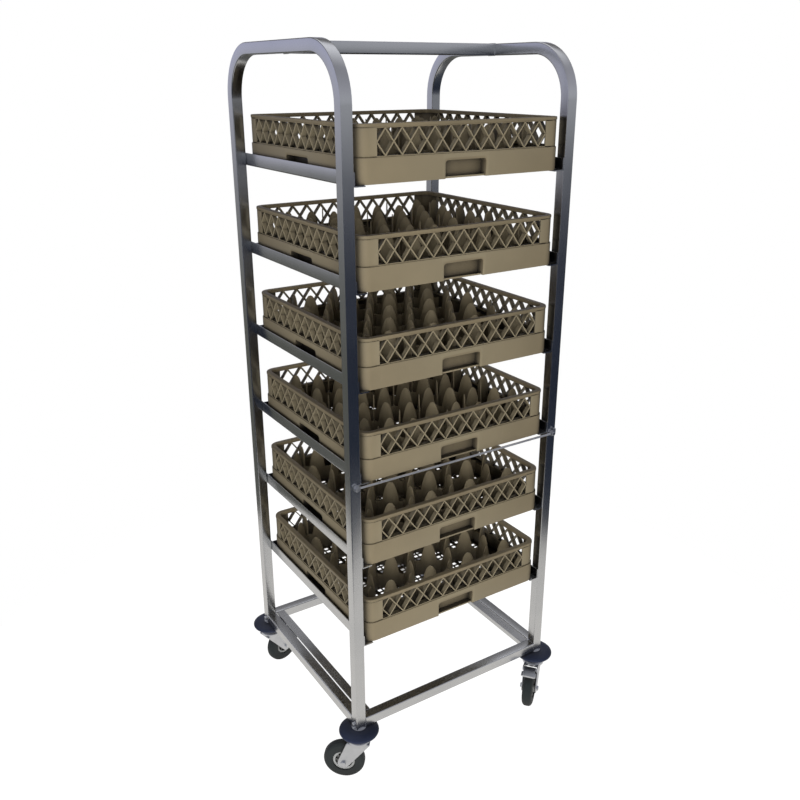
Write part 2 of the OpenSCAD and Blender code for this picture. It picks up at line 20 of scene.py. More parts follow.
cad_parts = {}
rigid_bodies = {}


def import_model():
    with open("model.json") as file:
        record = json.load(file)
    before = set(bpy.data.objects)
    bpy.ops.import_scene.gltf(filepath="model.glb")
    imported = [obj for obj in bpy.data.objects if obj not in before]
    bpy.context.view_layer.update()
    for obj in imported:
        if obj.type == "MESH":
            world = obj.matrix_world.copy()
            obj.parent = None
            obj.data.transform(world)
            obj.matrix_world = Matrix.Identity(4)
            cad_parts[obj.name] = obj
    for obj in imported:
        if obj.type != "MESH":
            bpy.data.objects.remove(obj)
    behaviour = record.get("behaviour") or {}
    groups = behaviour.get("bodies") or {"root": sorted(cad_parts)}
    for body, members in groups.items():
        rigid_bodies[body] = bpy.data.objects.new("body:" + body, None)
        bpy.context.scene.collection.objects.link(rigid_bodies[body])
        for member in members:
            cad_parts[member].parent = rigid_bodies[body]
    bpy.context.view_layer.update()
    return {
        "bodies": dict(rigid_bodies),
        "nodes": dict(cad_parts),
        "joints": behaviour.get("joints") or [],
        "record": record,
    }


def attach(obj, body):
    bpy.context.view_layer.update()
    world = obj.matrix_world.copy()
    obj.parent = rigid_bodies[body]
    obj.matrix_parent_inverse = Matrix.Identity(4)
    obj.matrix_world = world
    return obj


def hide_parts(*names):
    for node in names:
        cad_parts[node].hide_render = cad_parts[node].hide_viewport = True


Array = np.ndarray
Socket = bpy.types.NodeSocket
Triple = tuple[float, float, float]

LOG = logging.getLogger("dolly")
MM = 0.001
ALONG_X = (1.0, 0.0, 0.0)
ALONG_Y = (0.0, 1.0, 0.0)
UPWARDS = (0.0, 0.0, 1.0)
# Points nearer than MERGE become one and edges shorter than SHORT go, in metres
MERGE = 2e-6
SHORT = 1e-6
# Edges that turn by more than this are shaded sharp, in degrees
SHARP = 38.0


class Slot(Enum):
    """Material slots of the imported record."""

    STAINLESS = "stainless"
    ZINC = "zinc"
    RACK = "rack_plastic"
    BUFFER = "buffer"
    TYRE = "tyre"
    HUB = "hub_plastic"


class Coords(Enum):
    """Coordinates that a finish's pattern follows."""

    OBJECT = "Object"
    LENGTH = "UV"


class Side(IntEnum):
    """Sides of the dolly, as the sign of X."""

    LEFT = -1
    RIGHT = 1

    @property
    def key(self) -> str:
        """Start of the side's node names."""
        return self.name.lower()


class Corner(Enum):
    """Castor places: ending of the names, side in X, side in Y, turn of the fork in degrees, brake or none."""

    FRONT_LEFT = ("front_left", -1, -1, 141.0, False)
    FRONT_RIGHT = ("front_right", 1, -1, -141.0, True)
    REAR_LEFT = ("rear_left", -1, 1, 15.0, False)
    REAR_RIGHT = ("rear_right", 1, 1, 39.0, True)

    def __init__(self, key: str, side_x: int, side_y: int, turn: float, braked: bool) -> None:
        """Gives the parts of the value their names."""
        self.key, self.side_x, self.side_y, self.turn, self.braked = key, side_x, side_y, turn, braked


# Surfaces


@dataclass
class Patch:
    """Part of a mesh: points in millimetres, quads, and a UV in metres for each corner of each quad."""

    points: Array
    quads: Array
    uv: Array

    def placed(self, where: Array) -> "Patch":
        """Returns the patch with its points carried through a 4 by 4 matrix."""
        return Patch(self.points @ where[:3, :3].T + where[:3, 3], self.quads, self.uv)


def placed(patches: Sequence[Patch], where: Array) -> list[Patch]:
    """Carries several patches through one matrix."""
    return [patch.placed(where) for patch in patches]


def matrix(turn_z: float = 0.0, place: Sequence[float] = (0, 0, 0), tilt: tuple[float, str] | None = None) -> Array:
    """Matrix that tilts about an axis, then turns about Z, then moves; angles are in degrees."""
    turn = Matrix.Translation(Vector(place)) @ Matrix.Rotation(math.radians(turn_z), 4, "Z")
    if tilt:
        turn = turn @ Matrix.Rotation(math.radians(tilt[0]), 4, tilt[1])
    return np.array(turn)


def circle(count: int) -> Array:
    """Points at equal steps round a circle of radius 1."""
    a = np.linspace(0, 2 * np.pi, count, endpoint=False)
    return np.stack([np.cos(a), np.sin(a)], -1)


def mirrored(half: Array, signs: tuple[int, int] | int) -> Array:
    """Half a line followed by its mirror image, which runs back."""
    return np.concatenate([half, half[::-1] * signs])


def raised(plan: Array, height: Array | float) -> Array:
    """Points (x, y) lifted to a height."""
    return np.concatenate([plan, np.broadcast_to(height, plan.shape[:-1])[..., None]], -1)


def upright(line: Array, depth: Array | float) -> Array:
    """Points (x, height) stood up at a depth in Y."""
    return np.stack([line[..., 0], np.broadcast_to(depth, line.shape[:-1]), line[..., 1]], -1)


def surface(grid: Array, loop_u: bool = False, loop_v: bool = False) -> Patch:
    """Quads between neighbouring rows and columns of a grid; UV is the mean length run along rows and columns.

    Args:
        grid: Points, rows by columns by 3.
        loop_u: Whether the last row joins the first.
        loop_v: Whether the last column joins the first.

    Returns:
        The patch; a seam's points are doubled, and are merged when the mesh is made.
    """
    if loop_u:
        grid = np.concatenate([grid, grid[:1]], 0)
    if loop_v:
        grid = np.concatenate([grid, grid[:, :1]], 1)
    rows, cols = grid.shape[:2]
    along = np.linalg.norm(np.diff(grid, axis=0), axis=2).mean(1)
    around = np.linalg.norm(np.diff(grid, axis=1), axis=2).mean(0)
    u = np.concatenate([[0.0], np.cumsum(along)])
    v = np.concatenate([[0.0], np.cumsum(around)])
    uv = np.stack(np.meshgrid(u, v, indexing="ij"), -1).reshape(-1, 2) * MM
    index = np.arange(rows * cols).reshape(rows, cols)
    quads = np.stack([index[:-1, :-1], index[1:, :-1], index[1:, 1:], index[:-1, 1:]], -1).reshape(-1, 4)
    return Patch(grid.reshape(-1, 3), quads, uv[quads])


def cap(loop: Array) -> Patch:
    """Closes a flat convex loop of an even number of points by folding it into a strip of two rows."""
    half = len(loop) // 2
    return surface(np.stack([loop[:half], loop[half:][::-1]]))


def capped(grid: Array) -> list[Patch]:
    """Skin over a row of closed loops, with a cap on the first and on the last."""
    return [surface(grid, loop_v=True), cap(grid[0]), cap(grid[-1])]


def sweep(profile: Array, path: Array, side: Array | Triple, up: Array | Triple, closed: bool = False) -> list[Patch]:
    """Carries a closed profile along a path: point = path + x times side + y times up.

    Args:
        profile: Closed loop in the section, points by 2.
        path: Points of the path, rows by 3.
        side: Section's first direction, one for the whole path or one for each of its points.
        up: Section's second direction, given likewise.
        closed: Whether the path is a loop; an open one gets a cap at each end.

    Returns:
        The skin, and the caps of an open path.
    """
    first, second = (np.broadcast_to(way, path.shape)[:, None] for way in (side, up))
    grid = path[:, None] + profile[None, :, :1] * first + profile[None, :, 1:] * second
    return [surface(grid, loop_u=True, loop_v=True)] if closed else capped(grid)


def bar(profile: Array, start: Sequence[float], end: Sequence[float], up: Triple) -> list[Patch]:
    """Carries a closed profile along the straight line between two points, with one direction of it given."""
    path = np.array([start, end], float)
    way = path[1] - path[0]
    return sweep(profile, path, np.cross(way / np.linalg.norm(way), up), up)


def revolve(profile: Array, turns: int = 48) -> Patch:
    """Turns an open or closed line of (radius, height) points round Z: point = (r cos a, r sin a, height)."""
    return surface(raised(profile[None, :, :1] * circle(turns)[:, None], profile[:, 1]), loop_u=True)


def rounded(corners: Sequence[Triple], steps: int = 4) -> Array:
    """Line of points with each corner (x, y, radius) replaced by a quadratic curve between its two tangent points.

    Args:
        corners: Corners of a closed loop; a radius of 0 keeps the corner.
        steps: Points on each curve.

    Returns:
        Points of the loop, steps for each corner.
    """
    data = np.array(corners, float)
    here, reach = data[:, :2], data[:, 2:]
    to_last = np.roll(here, 1, 0) - here
    to_next = np.roll(here, -1, 0) - here
    first = here + to_last / np.linalg.norm(to_last, axis=1, keepdims=True) * reach
    last = here + to_next / np.linalg.norm(to_next, axis=1, keepdims=True) * reach
    t = np.linspace(0, 1, steps)[None, :, None]
    curve = (1 - t) ** 2 * first[:, None] + 2 * t * (1 - t) * here[:, None] + t**2 * last[:, None]
    return curve.reshape(-1, 2)


def box_profile(low: Sequence[float], high: Sequence[float], radius: float, steps: int = 4) -> Array:
    """Rectangle between two corners with rounded edges."""
    (x0, y0), (x1, y1) = low, high
    return rounded([(x0, y0, radius), (x1, y0, radius), (x1, y1, radius), (x0, y1, radius)], steps)


def hull_outline(points: Array, samples: int = 96) -> tuple[Array, Array]:
    """Outline round a set of points: for each direction, the point that reaches furthest along it.

    Args:
        points: Points in the plane.
        samples: Number of directions.

    Returns:
        The outline's points, and the direction that each faces.
    """
    faces = circle(samples)
    return points[np.argmax(faces @ points.T, axis=1)], faces


def disc_points(x: float, z: float, radius: float) -> Array:
    """Points round a circle, for a plate's outline to wrap."""
    return np.array([x, z]) + radius * circle(96)


def slab(points: Array, thick: float, edge: float, steps: int = 4) -> list[Patch]:
    """Plate round a set of points in XZ, thick along Y, whose edges are quarter rounds.

    Args:
        points: Points in the plane that the plate's outline wraps.
        thick: Thickness.
        edge: Radius of the edges.
        steps: Points on each edge's round.

    Returns:
        The rim and the two faces.
    """
    line, faces = hull_outline(points)
    a = np.linspace(0, np.pi / 2, steps)
    inset = np.concatenate([edge * (1 - np.sin(a)), edge * (1 - np.cos(a))])
    level = np.concatenate([edge * (1 - np.cos(a)), thick - edge * (1 - np.sin(a))]) - thick / 2
    return capped(upright(line[None] - inset[:, None, None] * faces[None], level[:, None]))


def hex_head(across: float, high: float, chamfer: float, slant: float = 1.6) -> list[Patch]:
    """Hexagon head on Z: a six-sided prism whose top falls to a hexagon smaller by slant times the chamfer."""
    rim = np.array([[across / 2, 0.0], [across / 2, high - chamfer], [across / 2 - slant * chamfer, high]])
    skin = revolve(rim, 6)
    loops = skin.points.reshape(7, 3, 3)[:6]
    return [skin, cap(loops[:, 0]), cap(loops[:, 2])]


def plate_with_gaps(xs: Array, ys: Array, solid: Array, low: float, high: float) -> Patch:
    """Flat plate on a grid of lines whose cells are solid or open: faces above, below and round each opening.

    Args:
        xs: Grid lines in X.
        ys: Grid lines in Y.
        solid: Whether each cell is solid, columns by rows.
        low: Height of the underside.
        high: Height of the top.

    Returns:
        The patch.
    """
    grid = np.stack(np.meshgrid(xs, ys, [low, high], indexing="ij"), -1)
    index = np.arange(grid.size // 3).reshape(grid.shape[:3])
    i, j = np.nonzero(solid)
    corners = [(0, 0), (1, 0), (1, 1), (0, 1)]
    top = np.stack([index[i + a, j + b, 1] for a, b in corners], -1)
    under = np.stack([index[i + a, j + b, 0] for a, b in corners[::-1]], -1)
    wide = np.pad(solid, 1)
    quads = [top, under]
    for (a0, b0), (a1, b1), (di, dj) in (((0, 0), (0, 1), (-1, 0)), ((1, 1), (1, 0), (1, 0)),
                                         ((1, 0), (0, 0), (0, -1)), ((0, 1), (1, 1), (0, 1))):
        edge = ~wide[i + 1 + di, j + 1 + dj]
        p, q = i[edge], j[edge]
        first, last = (p + a0, q + b0), (p + a1, q + b1)
        quads.append(np.stack([index[(*first, 0)], index[(*first, 1)], index[(*last, 1)], index[(*last, 0)]], -1))
    faces = np.concatenate(quads)
    points = grid.reshape(-1, 3)
    return Patch(points, faces, points[faces][..., :2] * MM)


# Finishes

# Numbers of a Mix node's colour sockets
MIX_A, MIX_B, MIX_RESULT = 6, 7, 2
# Most of a noise's values lie in this span
NOISE_SPAN = (0.3, 0.7)


class Graph:
    """Node tree, with short ways to add the few nodes that the finishes and the studio need."""

    def __init__(self, tree: bpy.types.NodeTree) -> None:
        """Takes the tree that the nodes go in."""
        self.tree = tree

    def fill(self, node: bpy.types.Node, inputs: dict[str | int, Any]) -> bpy.types.Node:
        """Links each input that is given a socket, sets the others to their values, and returns the node."""
        for key, value in inputs.items():
            if isinstance(value, Socket):
                self.tree.links.new(value, node.inputs[key])
            else:
                node.inputs[key].default_value = value
        return node

    def node(self, kind: str, inputs: dict[str | int, Any], **values: Any) -> bpy.types.Node:
        """Adds a node.

        Args:
            kind: Blender's name of the node type.
            inputs: Sockets or values for its inputs, by name or number.
            values: Its properties by name.

        Returns:
            The node.
        """
        made = self.tree.nodes.new(kind)
        for key, value in values.items():
            setattr(made, key, value)
        return self.fill(made, inputs)

    def coords(self, kind: Coords, scale: Triple = (1.0, 1.0, 1.0)) -> Socket:
        """Object or UV coordinates, stretched by a Mapping node."""
        source = self.node("ShaderNodeTexCoord", {}).outputs[kind.value]
        return self.node("ShaderNodeMapping", {"Vector": source, "Scale": scale}).outputs["Vector"]

    def noise(self, where: Socket, scale: float, detail: float, rough: float = 0.55) -> Socket:
        """Noise value at given coordinates."""
        inputs = {"Vector": where, "Scale": scale, "Detail": detail, "Roughness": rough}
        return self.node("ShaderNodeTexNoise", inputs).outputs["Fac"]

    def spread(self, value: Socket, low: float, high: float, span: tuple[float, float]) -> Socket:
        """Maps a value from a span to the range between low and high, clamped."""
        inputs = {"Value": value, "From Min": span[0], "From Max": span[1], "To Min": low, "To Max": high}
        return self.node("ShaderNodeMapRange", inputs).outputs["Result"]

    def mix(self, share: Socket, first: Socket | Triple, second: Socket | Triple) -> Socket:
        """Mixes two colours, each a socket or three numbers."""
        a, b = (value if isinstance(value, Socket) else (*value, 1.0) for value in (first, second))
        made = self.node("ShaderNodeMix", {"Factor": share, MIX_A: a, MIX_B: b}, data_type="RGBA")
        return made.outputs[MIX_RESULT]

    def bump(self, height: Socket, strength: float, distance: float, under: Socket | None = None) -> Socket:
        """Bump normal from a height, over another bump where one is given."""
        inputs = {"Height": height, "Strength": strength, "Distance": distance}
        if under is not None:
            inputs["Normal"] = under
        return self.node("ShaderNodeBump", inputs).outputs["Normal"]

    def ramp(self, value: Socket, stops: Sequence[tuple[float, Triple]]) -> Socket:
        """Colour ramp over a value from 0 to 1.

        Args:
            value: The value.
            stops: Places on the ramp and their colours.

        Returns:
            The colour.
        """
        made = self.node("ShaderNodeValToRGB", {"Fac": value})
        elements = made.color_ramp.elements
        while len(elements) < len(stops):
            elements.new(0.5)
        for element, (where, colour) in zip(elements, stops):
            element.position = where
            element.color = (*colour, 1.0)
        return made.outputs["Color"]

    def by_ray(self, plain: Socket, glossy: Socket, camera: Socket) -> Socket:
        """Shader that is one thing to the camera, another in reflections and a third to all other rays."""
        rays = self.node("ShaderNodeLightPath", {}).outputs
        indirect = self.node("ShaderNodeMixShader", {0: rays["Is Glossy Ray"], 1: plain, 2: glossy}).outputs[0]
        return self.node("ShaderNodeMixShader", {0: rays["Is Camera Ray"], 1: indirect, 2: camera}).outputs[0]


class Paint(Graph):
    """Node tree of a new material, with its Principled shader."""

    def __init__(self, name: str) -> None:
        """Makes the material."""
        self.material = bpy.data.materials.new(name)
        self.material.use_nodes = True
        super().__init__(self.material.node_tree)
        self.shader = self.tree.nodes["Principled BSDF"]


@dataclass(frozen=True)
class Finish(ABC):
    """What every finish has: a name, the record's slot, a tone, a darker shade and a span of roughness."""

    name: str
    slot: Slot
    tone: Triple
    shade: Triple
    rough: tuple[float, float]

    @abstractmethod
    def build(self) -> bpy.types.Material:
        """Makes and returns the material."""


@dataclass(frozen=True)
class MetalFinish(Finish):
    """Brushed or plated metal: fine lines along the work, cloudy tone, smudges in the gloss."""

    coords: Coords
    stretch: Triple
    lines: float
    cloud: float
    line_depth: float = 0.0002
    line_shade: float = 0.22
    line_blur: float = 0.5

    def build(self) -> bpy.types.Material:
        """Makes and returns the material."""
        g = Paint(self.name)
        brush = g.noise(g.coords(self.coords, self.stretch), 1.0, 4.0, 0.6)
        cloud = g.noise(g.coords(Coords.OBJECT), self.cloud, 4.0)
        tone = g.mix(g.spread(cloud, 0.0, 1.0, NOISE_SPAN), self.shade, self.tone)
        clear, blurred = ((value,) * 3 for value in self.rough)
        gloss = g.mix(g.spread(cloud, 0.25, 0.75, NOISE_SPAN), clear, blurred)
        g.fill(g.shader, {
            "Base Color": g.mix(g.spread(brush, 0.0, self.line_shade, (0.35, 0.75)), tone, self.shade),
            "Roughness": g.mix(g.spread(brush, 0.0, self.line_blur, (0.3, 0.8)), gloss, blurred),
            "Normal": g.bump(brush, self.lines, self.line_depth),
            "Metallic": 1.0,
        })
        return g.material


@dataclass(frozen=True)
class MouldedFinish(Finish):
    """Moulded plastic or rubber: mottled colour, paler scuffs and edges, painted shade in hollows, fine grain, soft
    waves.
    """

    scuff: Triple
    scuffs: float
    grain: float
    grain_size: float
    grain_depth: float = 0.0003
    mottle_size: float = 9.0
    streak: Triple = (60.0, 60.0, 18.0)
    edge_wear: float = 0.55
    edge_span: tuple[float, float] = (0.515, 0.60)
    # Near-black that hollows are darkened to, and the reach and span of the occlusion that finds them: painted shade
    grime: Triple = (0.012, 0.011, 0.010)
    hollow: float = 0.06
    hollow_span: tuple[float, float] = (0.25, 0.9)
    wave: float = 0.12
    wave_size: float = 40.0
    wave_depth: float = 0.001

    def build(self) -> bpy.types.Material:
        """Makes and returns the material."""
        g = Paint(self.name)
        plain = g.coords(Coords.OBJECT)
        cloud = g.noise(plain, self.mottle_size, 4.0)
        fine = g.noise(plain, self.grain_size, 2.0)
        streak = g.noise(g.coords(Coords.OBJECT, self.streak), 1.0, 5.0, 0.7)
        tone = g.mix(g.spread(cloud, 0.0, 1.0, NOISE_SPAN), self.shade, self.tone)
        worn = g.mix(g.spread(streak, 0.0, self.scuffs, (0.58, 0.78)), tone, self.scuff)
        edge = g.node("ShaderNodeNewGeometry", {}).outputs["Pointiness"]
        rubbed = g.mix(g.spread(edge, 0.0, self.edge_wear, self.edge_span), worn, self.scuff)
        # Ambient occlusion darkens the base colour in pockets, corners and insides: painted shade
        hollow = g.node("ShaderNodeAmbientOcclusion", {"Distance": self.hollow}, samples=6).outputs["AO"]
        waves = g.bump(g.noise(plain, self.wave_size, 1.0), self.wave, self.wave_depth)
        g.fill(g.shader, {
            "Base Color": g.mix(g.spread(hollow, 0.0, 1.0, self.hollow_span), self.grime, rubbed),
            "Roughness": g.spread(cloud, *self.rough, (0.25, 0.75)),
            "Normal": g.bump(fine, self.grain, self.grain_depth, waves),
        })
        return g.material


STAINLESS = MetalFinish(
    "brushed_stainless", Slot.STAINLESS, tone=(0.66, 0.67, 0.68), shade=(0.55, 0.565, 0.58), rough=(0.15, 0.29),
    coords=Coords.LENGTH, stretch=(9.0, 2600.0, 1.0), lines=0.06, cloud=5.0)
STAINLESS_PLATE = MetalFinish(
    "brushed_stainless_plate", Slot.STAINLESS, tone=(0.66, 0.67, 0.68), shade=(0.55, 0.565, 0.58), rough=(0.18, 0.32),
    coords=Coords.OBJECT, stretch=(2400.0, 10.0, 2400.0), lines=0.06, cloud=6.0)
ZINC = MetalFinish(
    "bright_zinc", Slot.ZINC, tone=(0.70, 0.72, 0.75), shade=(0.57, 0.59, 0.62), rough=(0.28, 0.44),
    coords=Coords.OBJECT, stretch=(220.0, 220.0, 220.0), lines=0.05, cloud=30.0)
TAUPE = MouldedFinish(
    "taupe_moulding", Slot.RACK, tone=(0.258, 0.208, 0.128), shade=(0.208, 0.168, 0.104), rough=(0.40, 0.58),
    scuff=(0.35, 0.30, 0.20), scuffs=0.25, grain=0.10, grain_size=1400.0)
NAVY = MouldedFinish(
    "navy_buffer", Slot.BUFFER, tone=(0.014, 0.022, 0.052), shade=(0.010, 0.015, 0.036), rough=(0.42, 0.60),
    scuff=(0.045, 0.055, 0.09), scuffs=0.30, grain=0.14, grain_size=1800.0)
TYRE = MouldedFinish(
    "tyre_rubber", Slot.TYRE, tone=(0.020, 0.026, 0.026), shade=(0.013, 0.017, 0.018), rough=(0.55, 0.75),
    scuff=(0.07, 0.07, 0.066), scuffs=0.45, grain=0.20, grain_size=1500.0)
HUB = MouldedFinish(
    "hub_moulding", Slot.HUB, tone=(0.55, 0.56, 0.545), shade=(0.46, 0.47, 0.46), rough=(0.35, 0.50),
    scuff=(0.30, 0.29, 0.27), scuffs=0.20, grain=0.08, grain_size=1600.0)


@dataclass
class Workshop:
    """Makes objects from patches, dresses them and ties them to the CAD part's bodies."""

    frame: dict[str, Any]
    materials: dict[str, bpy.types.Material] = field(default_factory=dict)

    def finish(self, kind: Finish) -> bpy.types.Material:
        """Returns the material of a finish, made once."""
        if kind.name not in self.materials:
            self.materials[kind.name] = kind.build()
        return self.materials[kind.name]

    def dress(self, node: str, kind: Finish) -> None:
        """Gives a CAD node that stays its finish."""
        mesh = self.frame["nodes"][node].data
        mesh.materials.clear()
        mesh.materials.append(self.finish(kind))
        LOG.info("dressed %s in %s", node, kind.name)

    def mesh(self, name: str, patches: Sequence[Patch]) -> bpy.types.Mesh:
        """Joins patches into one mesh in metres, merges its seams and turns its faces outwards.

        Args:
            name: Name of the mesh.
            patches: Its patches, in millimetres.

        Returns:
            The mesh, with a UV map in metres.
        """
        starts = np.cumsum([0] + [len(p.points) for p in patches[:-1]])
        points = np.concatenate([p.points for p in patches]) * MM
        quads = np.concatenate([p.quads + s for p, s in zip(patches, starts)])
        uv = np.concatenate([p.uv for p in patches])
        made = bpy.data.meshes.new(name)
        made.from_pydata(points, [], quads)
        layer = made.uv_layers.new(name="length")
        layer.uv.foreach_set("vector", uv.astype(np.float32).ravel())
        work = bmesh.new()
        work.from_mesh(made)
        bmesh.ops.remove_doubles(work, verts=work.verts, dist=MERGE)
        bmesh.ops.dissolve_degenerate(work, edges=work.edges, dist=SHORT)
        bmesh.ops.recalc_face_normals(work, faces=work.faces)
        work.to_mesh(made)
        work.free()
        made.polygons.foreach_set("use_smooth", np.ones(len(made.polygons), bool))
        made.set_sharp_from_angle(angle=math.radians(SHARP))
        return made

    def piece(self, name: str, patches: Sequence[Patch], kind: Finish, body: str, nodes: Sequence[str] = ()) -> None:
        """Makes a finished piece.

        Args:
            name: Name of the piece.
            patches: Its patches, in millimetres.
            kind: Its finish.
            body: CAD body that it rides on.
            nodes: CAD nodes that it stands for.
        """
        made = bpy.data.objects.new(name, self.mesh(name, patches))
        bpy.context.scene.collection.objects.link(made)
        made.data.materials.append(self.finish(kind))
        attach(made, body)
        if nodes:
            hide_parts(*nodes)
        LOG.info("made %s: %d faces", name, len(made.data.polygons))


# Frame


@dataclass
class TubeFrame:
    """Two hoops of square tube, top bar, base rails, ledges and angle runners."""

    shop: Workshop
    wide: float = 566.0
    deep: float = 525.0
    high: float = 1652.0
    tube: float = 25.0
    edge: float = 2.6
    bend: float = 115.0
    foot: float = 149.2
    bead_round: float = 1.35
    bead_ripple: float = 0.18
    bead_step: float = 2.4
    runner: float = 25.0
    runner_short: float = 2.0
    sheet: float = 2.5
    stop_high: float = 20.0
    stop_y: tuple[float, float] = (243.0, 245.5)
    tiers: tuple[float, ...] = (1395.7, 1192.2, 988.7, 785.2, 581.7, 378.2)

    @property
    def post_x(self) -> float:
        """Distance of the posts' middles from the middle plane."""
        return (self.wide - self.tube) / 2

    @property
    def post_y(self) -> float:
        """Distance of the posts' middles from the middle of the depth."""
        return (self.deep - self.tube) / 2

    @property
    def inner_x(self) -> float:
        """Distance of the posts' inner faces from the middle plane."""
        return self.post_x - self.tube / 2

    @property
    def inner_y(self) -> float:
        """Distance of the posts' inner faces from the middle of the depth."""
        return self.post_y - self.tube / 2

    @property
    def rail_z(self) -> float:
        """Height of the base rails' middles."""
        return self.foot + self.tube / 2

    @property
    def top_z(self) -> float:
        """Height of the top bar's middle."""
        return self.high - self.tube / 2

    def section(self) -> Array:
        """Square tube's outside, with rounded edges."""
        half = self.tube / 2
        return box_profile((-half, -half), (half, half), self.edge, 6)

    def hoop(self, side: Side) -> None:
        """Inverted U: the tube's section carried up a post, round a bend, along the top and down again.

        Args:
            side: Side of the hoop.
        """
        r = self.bend - self.tube / 2
        y, z = self.deep / 2 - self.bend, self.high - self.bend
        a = np.linspace(0, np.pi / 2, 15)
        rise = np.linspace(self.foot, z, 12)[:-1]
        over = np.linspace(-y, y, 5)[1:-1]
        post = len(rise)
        ys = [np.full(post, -y - r), -y - r * np.cos(a), over, y + r * np.sin(a), np.full(post, y + r)]
        zs = [rise, z + r * np.sin(a), np.full_like(over, z + r), z + r * np.cos(a), rise[::-1]]
        bent = np.stack([np.concatenate(ys), np.concatenate(zs)], -1)
        path = np.insert(bent, 0, side * self.post_x, axis=1)
        way = np.gradient(path, axis=0)
        way[:post] = (0, 0, 1)
        way[-post:] = (0, 0, -1)
        way /= np.linalg.norm(way, axis=1, keepdims=True)
        skin = sweep(self.section(), path, ALONG_X, np.cross(way, ALONG_X))
        self.shop.piece(f"{side.key}_hoop_tube", skin, STAINLESS, "frame", [f"{side.key}_hoop"])

    def straight(self, node: str, start: Sequence[float], end: Sequence[float]) -> None:
        """Straight square tube between the middles of its two ends, which stands for a CAD node."""
        self.shop.piece(node + "_tube", bar(self.section(), start, end, UPWARDS), STAINLESS, "frame", [node])

    def bead(self, place: Sequence[float], along: int) -> Patch:
        """Weld bead: a small round section carried round the tube's outline, in the plane where two tubes meet.

        Its radius goes up and down by a sine of the count of the outline's points.

        Args:
            place: Middle of the joint.
            along: Axis of the tube that ends there, 0 for X and 1 for Y.

        Returns:
            The bead's skin.
        """
        line = self.section()
        out = line / np.linalg.norm(line, axis=1, keepdims=True)
        wave = (self.bead_round + self.bead_ripple * np.sin(np.arange(len(line)) * self.bead_step))[:, None]
        turn = circle(8)
        loops = line[:, None] + out[:, None] * (wave * turn[:, 0])[..., None]
        axes = [loops[..., 0], loops[..., 1]]
        axes.insert(along, wave * turn[:, 1])
        return surface(np.stack(axes, -1) + np.array(place), loop_u=True, loop_v=True)

    def welds(self) -> None:
        """Beads where the rails and the top bar meet the hoops."""
        beads: list[Patch] = []
        for side in Side:
            beads.append(self.bead((side * self.inner_x, 0, self.top_z), 0))
            for end in (-1, 1):
                beads.append(self.bead((side * self.inner_x, end * self.post_y, self.rail_z), 0))
                beads.append(self.bead((side * self.post_x, end * self.inner_y, self.rail_z), 1))
        self.shop.piece("weld_beads", beads, STAINLESS, "frame")

    def runners(self, side: Side) -> None:
        """Angle runners: an L section with a bent corner along Y, and the stop turned up behind each rack.

        Args:
            side: Side of the hoop that they are on.
        """
        t, w = self.sheet, self.runner
        soft, outer, inner, lap = 0.8, 3.2, 0.9, 0.2
        angle = rounded([(-w, -t, soft), (0, -t, outer), (0, w, soft), (-t, w, soft), (-t, 0, inner), (-w, 0, soft)], 5)
        stop = box_profile((-w, -t + lap), (0, self.stop_high), inner, 3)
        half = self.deep / 2 - self.runner_short
        patches: list[Patch] = []
        for z in self.tiers:
            for profile, ends in ((angle, (-half, half)), (stop, self.stop_y)):
                path = np.array([[side * self.inner_x, y, z] for y in ends])
                patches += sweep(profile, path, (float(side), 0.0, 0.0), UPWARDS)
        self.shop.piece(f"{side.key}_runners_angles", patches, STAINLESS, "frame", [f"{side.key}_runners"])

    def build(self) -> None:
        """Makes the frame's pieces and dresses the nodes that stay."""
        x, y = self.inner_x, self.inner_y
        for side in Side:
            self.hoop(side)
            self.runners(side)
        self.straight("top_bar", (-x, 0, self.top_z), (x, 0, self.top_z))
        for node, end in (("front_rail", -self.post_y), ("rear_rail", self.post_y)):
            self.straight(node, (-x, end, self.rail_z), (x, end, self.rail_z))
        for side in Side:
            post = side * self.post_x
            self.straight(f"{side.key}_rail", (post, -y, self.rail_z), (post, y, self.rail_z))
        self.welds()
        for side in Side:
            self.shop.dress(f"{side.key}_ledge", STAINLESS_PLATE)


# Racks

# Inside of a hand hold from its lip to its back: distance out from the notch's outline, depth behind the face
HOLD_INSIDE = ((1.2, 0.0), (0.35, 0.35), (0.0, 1.2), (0.0, 19.0))
# Outside of the same pocket, from the back of the skirt to the pocket's back
HOLD_OUTSIDE = ((3.0, 5.0), (3.0, 21.2), (2.2, 22.0))
# Post at the corners of the dividers: height above or below the dip and share of its full size
POST_TOP = ((-1.0, 1.0), (0.8, 0.85), (1.8, 0.4))


